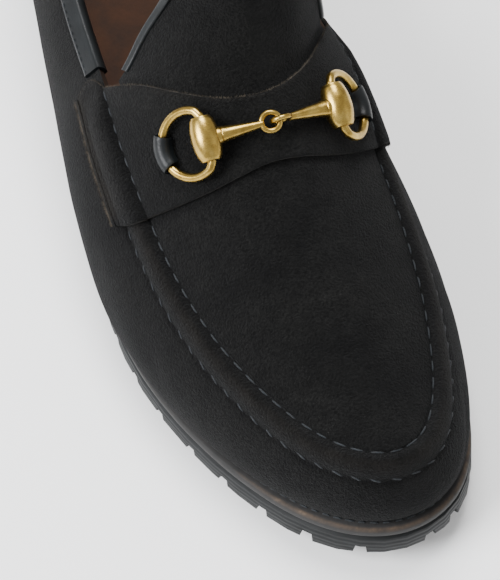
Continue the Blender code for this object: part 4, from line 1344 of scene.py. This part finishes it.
def make_tongue():
    columns = TONGUE_COLUMNS
    top = tongue_grid(columns)
    normals = grid_normals(top)
    mesh = bmesh.new()
    slab(mesh, top, normals, -TONGUE_THICK, 0.0)
    piece("tongue_suede", mesh, [SUEDE], ["tongue"])
    bottom = moved_by(top, normals, -TONGUE_THICK)
    first, last = BOUND_FROM, len(top) - 1
    places = [(k, 0) for k in range(first, last)] + [(last, k) for k in range(columns + 1)]
    places += [(k, columns) for k in range(last - 1, first - 1, -1)]
    path = [(top[r][c] + bottom[r][c]) / 2 for r, c in places]
    half = TONGUE_THICK / 2
    rim = []
    for k, (r, c) in enumerate(places):
        normal = (top[r][c] - bottom[r][c]).normalized()
        along = path[min(k + 2, len(path) - 1)] - path[max(k - 2, 0)]
        away = along.cross(normal).normalized()
        r_in, c_in = min(r, last - 1), min(max(c, 1), columns - 1)
        back = ((top[r_in][c_in] + bottom[r_in][c_in]) / 2 - path[k]).normalized()
        if away.dot(back) > 0:
            away = -away
        rim.append((path[k], away, -away.lerp(-back, 0.5).normalized(), normal, half, half))
    mesh = bmesh.new()
    folded_strip(mesh, rim, TONGUE_LEG, 0.25 * MM)
    piece("tongue_binding_calf", mesh, [TRIM], ["tongue_binding"])


make_tongue()


# %% [markdown]
# The topline is bound too: a strip of smooth calf is folded over the suede's cut edge and stitched down
# close to its own. Its section is rounder than a bare fold, because the leather under it fills it out.

# %% The collar's binding
def make_collar():
    rim = []
    stations = spread(turn(0.0), turn(COLLAR_END), 70)
    stations = [(1 - math.cos(a)) / 2 for a in stations]
    path = [(INNER, s) for s in reversed(stations[1:])] + [(OUTER, s) for s in stations]
    for side, station in path:
        top = rib(side, station, 1)
        normal = rib_normal(side, station, 1)
        away = (top - rib(side, station, 0.93)).normalized()
        away = (away - normal * away.dot(normal)).normalized()
        rim.append((top, away, -away, normal, 0, WALL_THICK))
    mesh = bmesh.new()
    folded_strip(mesh, rim, COLLAR_LEG, 0.40 * MM)
    piece("collar_binding_calf", mesh, [TRIM], ["collar_binding"])
    mesh = bmesh.new()
    row = []
    for top, away, _, normal, _, _ in rim:
        row.append((top - away * (COLLAR_LEG - 0.9 * MM) + normal * 1.22 * MM, normal))
    print("collar stitches", stitch_row(mesh, row, COLLAR_STITCH))
    piece("collar_stitches", mesh, [DARK_THREAD], weld=FINE_WELD)


make_collar()


# %% [markdown]
# Under the upper lie the insole, and a welted midsole whose upper edge is rubbed back to brown at the toe.

# %% The insole, the midsole and the welt's stitches
SPRING_FROM = 0.74
WELT_SEEN_FROM = 0.30
INSOLE_EDGE = (
    # lift, reach in from the wall
    (INSOLE_THICK, 1.0 * MM),
    (INSOLE_THICK - 0.12 * MM, 0.35 * MM),
    (INSOLE_THICK - 0.5 * MM, 0.0),
    (GAP / 3, 0.0),
)
MIDSOLE_EDGE = (
    # reach in mm, drop of the layer's 3 mm, how far worn back to brown
    (-4.20, 0.00, 0.00),
    (-1.90, 0.05, 0.25),
    (-0.75, 0.15, 0.95),
    (-0.20, 0.45, 0.75),
    (0.00, 0.90, 0.50),
    (0.00, 2.30, 0.25),
    (-0.15, 2.75, 0.00),
    (-0.50, 3.00, 0.00),
)


def tilt(station):
    """How steeply the sole rises toward the toe."""
    if station < SPRING_FROM:
        return 0.0
    low = max(station - 0.01, SPRING_FROM)
    high = min(station + 0.01, 1.0)
    return (seat(high) - seat(low)) / ((high - low) * LAST_LENGTH)


def edge(side, station, reach, depth):
    """Place on a layer's edge, reach past the welt's line and depth under the feather line."""
    out = smooth(WELT, 1, station) * WELT_REACH + reach
    point = feather(side, station) + outward(side, station) * out
    point.z = seat(station) - depth
    point.y += depth * tilt(station)
    return point


def plate(mesh, rings, tone=None):
    """A layer whose side runs down through rings; its top and bottom are strips from side to side."""
    loops = [([ring(OUTER, s) for s in FINE], [ring(INNER, s) for s in FINE]) for ring in rings]
    marks = None
    if tone:
        marks = [[tone(k, s) for s in FINE] * 2 for k in range(len(rings))]
        marks = [row[: len(FINE)] + row[: len(FINE)][::-1] for row in marks]
    sheet(mesh, [out + back[::-1] for out, back in loops], marks)
    for k in (0, -1):
        out, back = loops[k]
        marked = [marks[k][: len(FINE)]] * 2 if marks else None
        sheet(mesh, [out, back], marked)
    sheet(mesh, [[back[0], out[0]] for out, back in loops])


def make_insole():
    side_gap = 1.35 * WALL_THICK + 2 * GAP

    def ring(lift, reach):
        def at(side, station):
            share = max(lift, 0) / (smooth(RIM, 1, station) * SEAM_HEIGHT)
            point = rib(side, station, share) - outward(side, station) * (side_gap + reach)
            point.z = seat(station) + lift
            return point

        return at

    mesh = bmesh.new()
    plate(mesh, [ring(lift, reach) for lift, reach in INSOLE_EDGE])
    piece("insole_leather", mesh, [SOCK], ["insole"])


def rubbed(ring, station):
    """How far the edge is worn back to brown: at the toe, and most on the rounded upper corner."""
    toe = min(max((station - 0.80) / 0.15, 0.0), 1.0)
    return MIDSOLE_EDGE[ring][2] * 0.66 * toe - 0.30


def make_midsole():
    def ring(reach, drop):
        depth = GAP + drop * MIDSOLE_THICK / 3.0
        return lambda side, station: edge(side, station, reach * MM, depth)

    mesh = bmesh.new()
    plate(mesh, [ring(reach, drop) for reach, drop, _ in MIDSOLE_EDGE], rubbed)
    piece("midsole_leather", mesh, [EDGE], ["midsole"])
    mesh = bmesh.new()
    path = []
    for side, station in ROUND:
        if station > WELT_SEEN_FROM:
            place = edge(side, station, -2.7 * MM * smooth(WELT, 1, station), GAP - 0.05 * MM)
            path.append((place, Vector((0, -tilt(station), 1)).normalized()))
    print("welt stitches", stitch_row(mesh, path, WELT_STITCH))
    piece("welt_stitches", mesh, [DARK_THREAD], weld=FINE_WELD)


make_insole()
make_midsole()


# %% [markdown]
# The rubber sole and heel keep their solids' shape: their moulded corners are eased, and the fine lines
# that the mould leaves follow the depth below the upper.

# %% The rubber
def make_rubber(node, name):
    """A solid's own mesh with its flat faces joined, its depth under the feather line and eased corners."""
    mesh = bmesh.new()
    mesh.from_mesh(NODES[node].data)
    bmesh.ops.remove_doubles(mesh, verts=mesh.verts, dist=0.01 * MM)
    bmesh.ops.dissolve_limit(mesh, angle_limit=math.radians(1.0), verts=mesh.verts, edges=mesh.edges)
    bmesh.ops.recalc_face_normals(mesh, faces=mesh.faces)
    layer = mesh.verts.layers.float.new("tone")
    for corner in mesh.verts:
        station = min(max((corner.co.y - LAST_PLACE.y) / LAST_LENGTH, 0.0), 1.0)
        corner[layer] = (seat(station) - corner.co.z) / MM
    made = piece(name, mesh, [RUBBER], [node], sharp=35, moved=False)
    ease = made.modifiers.new("eased corners", "BEVEL")
    ease.width = 0.25 * MM
    ease.segments = 2
    ease.limit_method = "ANGLE"
    ease.angle_limit = math.radians(50)


make_rubber("outsole", "outsole_rubber")
make_rubber("heel", "heel_rubber")


# %% [markdown]
# The bit. Each half is cast in one: a cask-shaped barrel, a tapered bar and an eye, and the two eyes are
# linked. Bent wire rings pass through the barrels, and a folded loop of calf holds each ring down.

# %% The bit's halves
EYE_POINTS = 40
BARREL_END = (
    # less than the end's radius, along from its face
    (0.35 * MM, 0.0),
    (0.08 * MM, 0.1 * MM),
    (0.0, 0.35 * MM),
)
BAR_NECK = (
    # more than the bar's radius, out from the barrel's skin
    (0.45 * MM, -0.5 * MM),
    (0.30 * MM, 0.15 * MM),
    (0.05 * MM, 0.35 * MM),
    (0.20 * MM, 0.6 * MM),
    (0.15 * MM, 0.9 * MM),
)


def on_strap(across, height):
    """Place at a height over the strap under the bit, and the strap's normal there."""
    station, step = BIT_STATION, 0.004
    along = instep(station + step, across) - instep(station - step, across)
    sideways = instep(station, min(across + step, 1)) - instep(station, max(across - step, 0))
    normal = along.cross(sideways).normalized()
    if normal.z < 0:
        normal = -normal
    return instep(station, across) + normal * (STRAP_LIFT + SADDLE_THICK + height), normal


def across_at(side, distance, height):
    """The share across the strap that lies at a distance from the bit's middle."""
    step = 0.004
    across = BIT_ACROSS
    last = on_strap(across, height)[0]
    walked = 0.0
    while walked < distance:
        across -= step * side
        here = on_strap(across, height)[0]
        walked += (here - last).length
        last = here
    return across


def basis(origin, first, second, third):
    """The matrix of a frame with these three axes."""
    rows = [(first[k], second[k], third[k], origin[k]) for k in range(3)]
    return Matrix(rows + [(0, 0, 0, 1)])


def turned(mesh, profile, steps, matrix, squeeze=1.0):
    """A body turned about the local Z axis; squeeze flattens it across its second axis."""
    rows = []
    for radius, height in profile:
        row = []
        for k in range(steps + 1):
            angle = math.tau * k / steps
            place = Vector((radius * math.cos(angle), radius * math.sin(angle) * squeeze, height))
            row.append(matrix @ place)
        rows.append(row)
    sheet(mesh, rows)


def closed_wire(mesh, path, normals, radius, sides):
    """Round wire along a closed path."""
    rows = []
    count = len(path)
    for k in range(count + 1):
        along = (path[(k + 1) % count] - path[(k - 1) % count]).normalized()
        up = normals[k % count]
        side_way = along.cross(up).normalized()
        row = []
        for j in range(sides + 1):
            angle = math.tau * j / sides
            row.append(path[k % count] + (up * math.sin(angle) + side_way * math.cos(angle)) * radius)
        rows.append(row)
    sheet(mesh, rows)


def barrel_profile():
    """A cask: flat ends with eased corners and a bulge between them, as (radius, height)."""
    half = BARREL_LENGTH / 2
    end = [(0.0, -half)] + [(BARREL_END_RADIUS - less, along - half) for less, along in BARREL_END]
    bulge = []
    for share in spread(-0.9, 0.9, 18):
        radius = BARREL_RADIUS - (BARREL_RADIUS - BARREL_END_RADIUS) * abs(share) ** 2.1
        bulge.append((radius, share * half))
    return end + bulge + [(radius, -height) for radius, height in reversed(end)]


def bar_profile(tip):
    """A tapered bar to the eye, with a cast neck where it leaves the barrel, as (radius, height)."""
    root, neck = BAR_ROOT_RADIUS, BARREL_RADIUS + BAR_NECK[-1][1]
    profile = [(0.0, 0.0), (root + 0.15 * MM, 0.0)]
    profile += [(root + more, BARREL_RADIUS + out) for more, out in BAR_NECK]
    for share in spread(0.1, 1.0, 9):
        profile.append((root + (BAR_TIP_RADIUS - root) * share, neck + (tip - neck) * share))
    return profile + [(0.0, tip)]


def make_bit_half(side, name, node):
    middle, _ = on_strap(BIT_ACROSS, EYE_WIRE + EYE_RADIUS + GAP)
    height = BARREL_RADIUS + 0.4 * MM
    barrel, barrel_normal = on_strap(across_at(side, BARREL_REACH, height), height)
    eye = middle + (barrel - middle).normalized() * (EYE_SPACING / 2)
    bar = (barrel - eye).normalized()
    up = (barrel_normal - bar * barrel_normal.dot(bar)).normalized()
    along = up.cross(bar).normalized()
    mesh = bmesh.new()
    turned(mesh, barrel_profile(), 40, basis(barrel, bar, up, along))
    tip = (barrel - eye).length - EYE_RADIUS + 0.3 * MM
    turned(mesh, bar_profile(tip), 28, basis(barrel, up, along, -bar))
    eye_normal, second = (along, up) if side == INNER else (up, along)
    path = []
    for k in range(EYE_POINTS):
        angle = math.tau * k / EYE_POINTS
        path.append(eye + (bar * math.cos(angle) + second * math.sin(angle)) * EYE_RADIUS)
    closed_wire(mesh, path, [eye_normal] * EYE_POINTS, EYE_WIRE, 14)
    piece(name, mesh, [BRASS], [node], sharp=38)
    return barrel, along, up


# %% [markdown]
# The rings are brass wire bent to a D and soldered: the straight side turns in the barrel. A folded loop
# of calf, sewn to the strap's underside through a slit, holds each bow down.

# %% The rings and their keepers
KEEPER_ARC = 18


def ring_path(barrel, along, away):
    """A D: a straight side through the barrel, two small corners and a wide bow."""
    centre = barrel + away * RING_CHORD
    half = BARREL_LENGTH / 2 + 0.25 * MM
    points = [barrel + along * half * share for share in spread(-1, 1, 8)]
    reach = math.sqrt(RING_RADIUS**2 - RING_CHORD**2)
    start_at = math.atan2(reach, -RING_CHORD) - 0.16
    bow = []
    for angle in spread(start_at, -start_at, 56):
        bow.append(centre + (away * math.cos(angle) + along * math.sin(angle)) * RING_RADIUS)
    corner = barrel + along * (reach + 0.12 * MM) + away * 0.75 * MM
    other = barrel - along * (reach + 0.12 * MM) + away * 0.75 * MM
    points += rounded(points[-1], corner, bow[0]) + bow + rounded(bow[-1], other, points[0])
    return points


def rounded(first, corner, last, steps=5):
    """Points between two ends, drawn toward the corner between them."""
    inner = []
    for share in spread(0.0, 1.0, steps)[1:-1]:
        inner.append(first.lerp(corner, share).lerp(corner.lerp(last, share), share))
    return inner


def make_ring_and_keeper(side, suffix, barrel, along, up):
    low = RING_WIRE + 0.8 * MM
    span = RING_CHORD + RING_RADIUS
    target = on_strap(across_at(side, BARREL_REACH + span, low), low)[0]
    away = target - barrel
    away = (away - along * away.dot(along)).normalized()
    upward = along.cross(away)
    if upward.dot(up) < 0:
        upward = -upward
    mesh = bmesh.new()
    path = ring_path(barrel, along, away)
    closed_wire(mesh, path, [upward] * len(path), RING_WIRE, 20)
    piece("ring_brass_" + suffix, mesh, [BRASS], ["ring_" + suffix], sharp=80)
    centre = barrel + away * RING_CHORD
    inner = RING_WIRE + 0.25 * MM
    outer = inner + KEEPER_THICK
    foot = -low + 1.6 * STRAP_LIFT
    section = [(-outer, foot)]
    section += [(-outer * math.cos(a), outer * math.sin(a)) for a in spread(0.0, math.pi, KEEPER_ARC)]
    section += [(outer, foot), (inner, foot)]
    section += [(inner * math.cos(a), inner * math.sin(a)) for a in spread(0.0, math.pi, 14)]
    section += [(-inner, foot)]
    rows = []
    reach = KEEPER_WIDTH / 2 / RING_RADIUS
    for angle in spread(-reach, reach, 16):
        way = away * math.cos(angle) + along * math.sin(angle)
        here = centre + way * RING_RADIUS
        ease = 0.18 * MM if abs(angle) > reach * 0.99 else 0.0
        row = []
        for k, (out, lift) in enumerate(section + section[:1]):
            outside = k <= KEEPER_ARC + 1 or k == len(section)
            shrink = 1 - ease / outer if outside else 1 + ease / inner
            row.append(here + way * out * shrink + upward * (lift * shrink if lift > 0 else lift))
        rows.append(row)
    mesh = bmesh.new()
    sheet(mesh, rows)
    close_ends(mesh)
    piece("keeper_calf_" + suffix, mesh, [TRIM], ["keeper_" + suffix])


for where, suffix in ((OUTER, "outer"), (INNER, "inner")):
    barrel, along, up = make_bit_half(where, "bit_brass_" + suffix, "bit_half_" + suffix)
    make_ring_and_keeper(where, suffix, barrel, along, up)


# %% [markdown]
# The studio: a pale floor, a soft light from the left that the nap of the outer wall catches, a broad one
# overhead and a weak fill. The camera looks down on the toe from in front and a little to the outer side.

# %% Floor, lights and camera
FLOOR_SIZE = 6.0
# Each light: name, place and size in metres, power in watts, colour
LIGHTS = (
    ("window_left", (0.85, 0.15, 0.75), 0.6, 24.0, (0.97, 0.98, 1.0)),
    ("overhead", (-0.10, -0.45, 1.25), 0.7, 20.0, (1, 1, 1)),
    ("fill_right", (-0.9, 0.6, 0.5), 0.8, 0.8, (1, 1, 1)),
)
LIT_POINT = Vector((0.0, 0.03, 0.03))
ROOM_LIGHT = 0.75
# The camera's turn from straight in front, its dip and its roll in radians, its distance in metres
YAW, DIP, ROLL_ANGLE, REACH = 0.3152, 1.0197, 0.0108, 0.5032
TARGET = Vector((0.0120, 0.0756, 0.0531))
FOCAL = 107.43


def make_floor():
    mesh = bmesh.new()
    bmesh.ops.create_grid(mesh, x_segments=1, y_segments=1, size=FLOOR_SIZE / 2)
    data = bpy.data.meshes.new("floor")
    mesh.to_mesh(data)
    mesh.free()
    made, _, shader, _ = start("white paper sweep", 0.9)
    shader.inputs["Base Color"].default_value = linear("ffffff")
    data.materials.append(made)
    floor = bpy.data.objects.new("floor", data)
    bpy.context.scene.collection.objects.link(floor)


def soft_light(name, place, size, power, colour):
    """A round soft box aimed at the shoe."""
    lamp = bpy.data.lights.new(name, "AREA")
    lamp.shape = "DISK"
    lamp.size = size
    lamp.energy = power
    lamp.color = colour
    made = bpy.data.objects.new(name, lamp)
    made.location = place
    made.rotation_mode = "QUATERNION"
    made.rotation_quaternion = (LIT_POINT - made.location).to_track_quat("-Z", "Y")
    bpy.context.scene.collection.objects.link(made)


def make_studio():
    for light in LIGHTS:
        soft_light(*light)
    world = bpy.data.worlds.new("pale room")
    world.use_nodes = True
    room = world.node_tree.nodes["Background"].inputs
    room["Color"].default_value = (1, 1, 1, 1)
    room["Strength"].default_value = ROOM_LIGHT
    bpy.context.scene.world = world


def make_camera():
    back = Vector((math.sin(YAW) * math.cos(DIP), math.cos(YAW) * math.cos(DIP), math.sin(DIP)))
    right = Vector((-back.y, back.x, 0)).normalized()
    up = back.cross(right)
    right, up = (
        right * math.cos(ROLL_ANGLE) + up * math.sin(ROLL_ANGLE),
        up * math.cos(ROLL_ANGLE) - right * math.sin(ROLL_ANGLE),
    )
    lens = bpy.data.cameras.new("camera")
    lens.lens = FOCAL
    lens.sensor_width = 36.0
    lens.clip_start = 0.01
    camera = bpy.data.objects.new("camera", lens)
    camera.matrix_world = basis(TARGET + back * REACH, right, up, back)
    bpy.context.scene.collection.objects.link(camera)
    bpy.context.scene.camera = camera


make_floor()
make_studio()
make_camera()
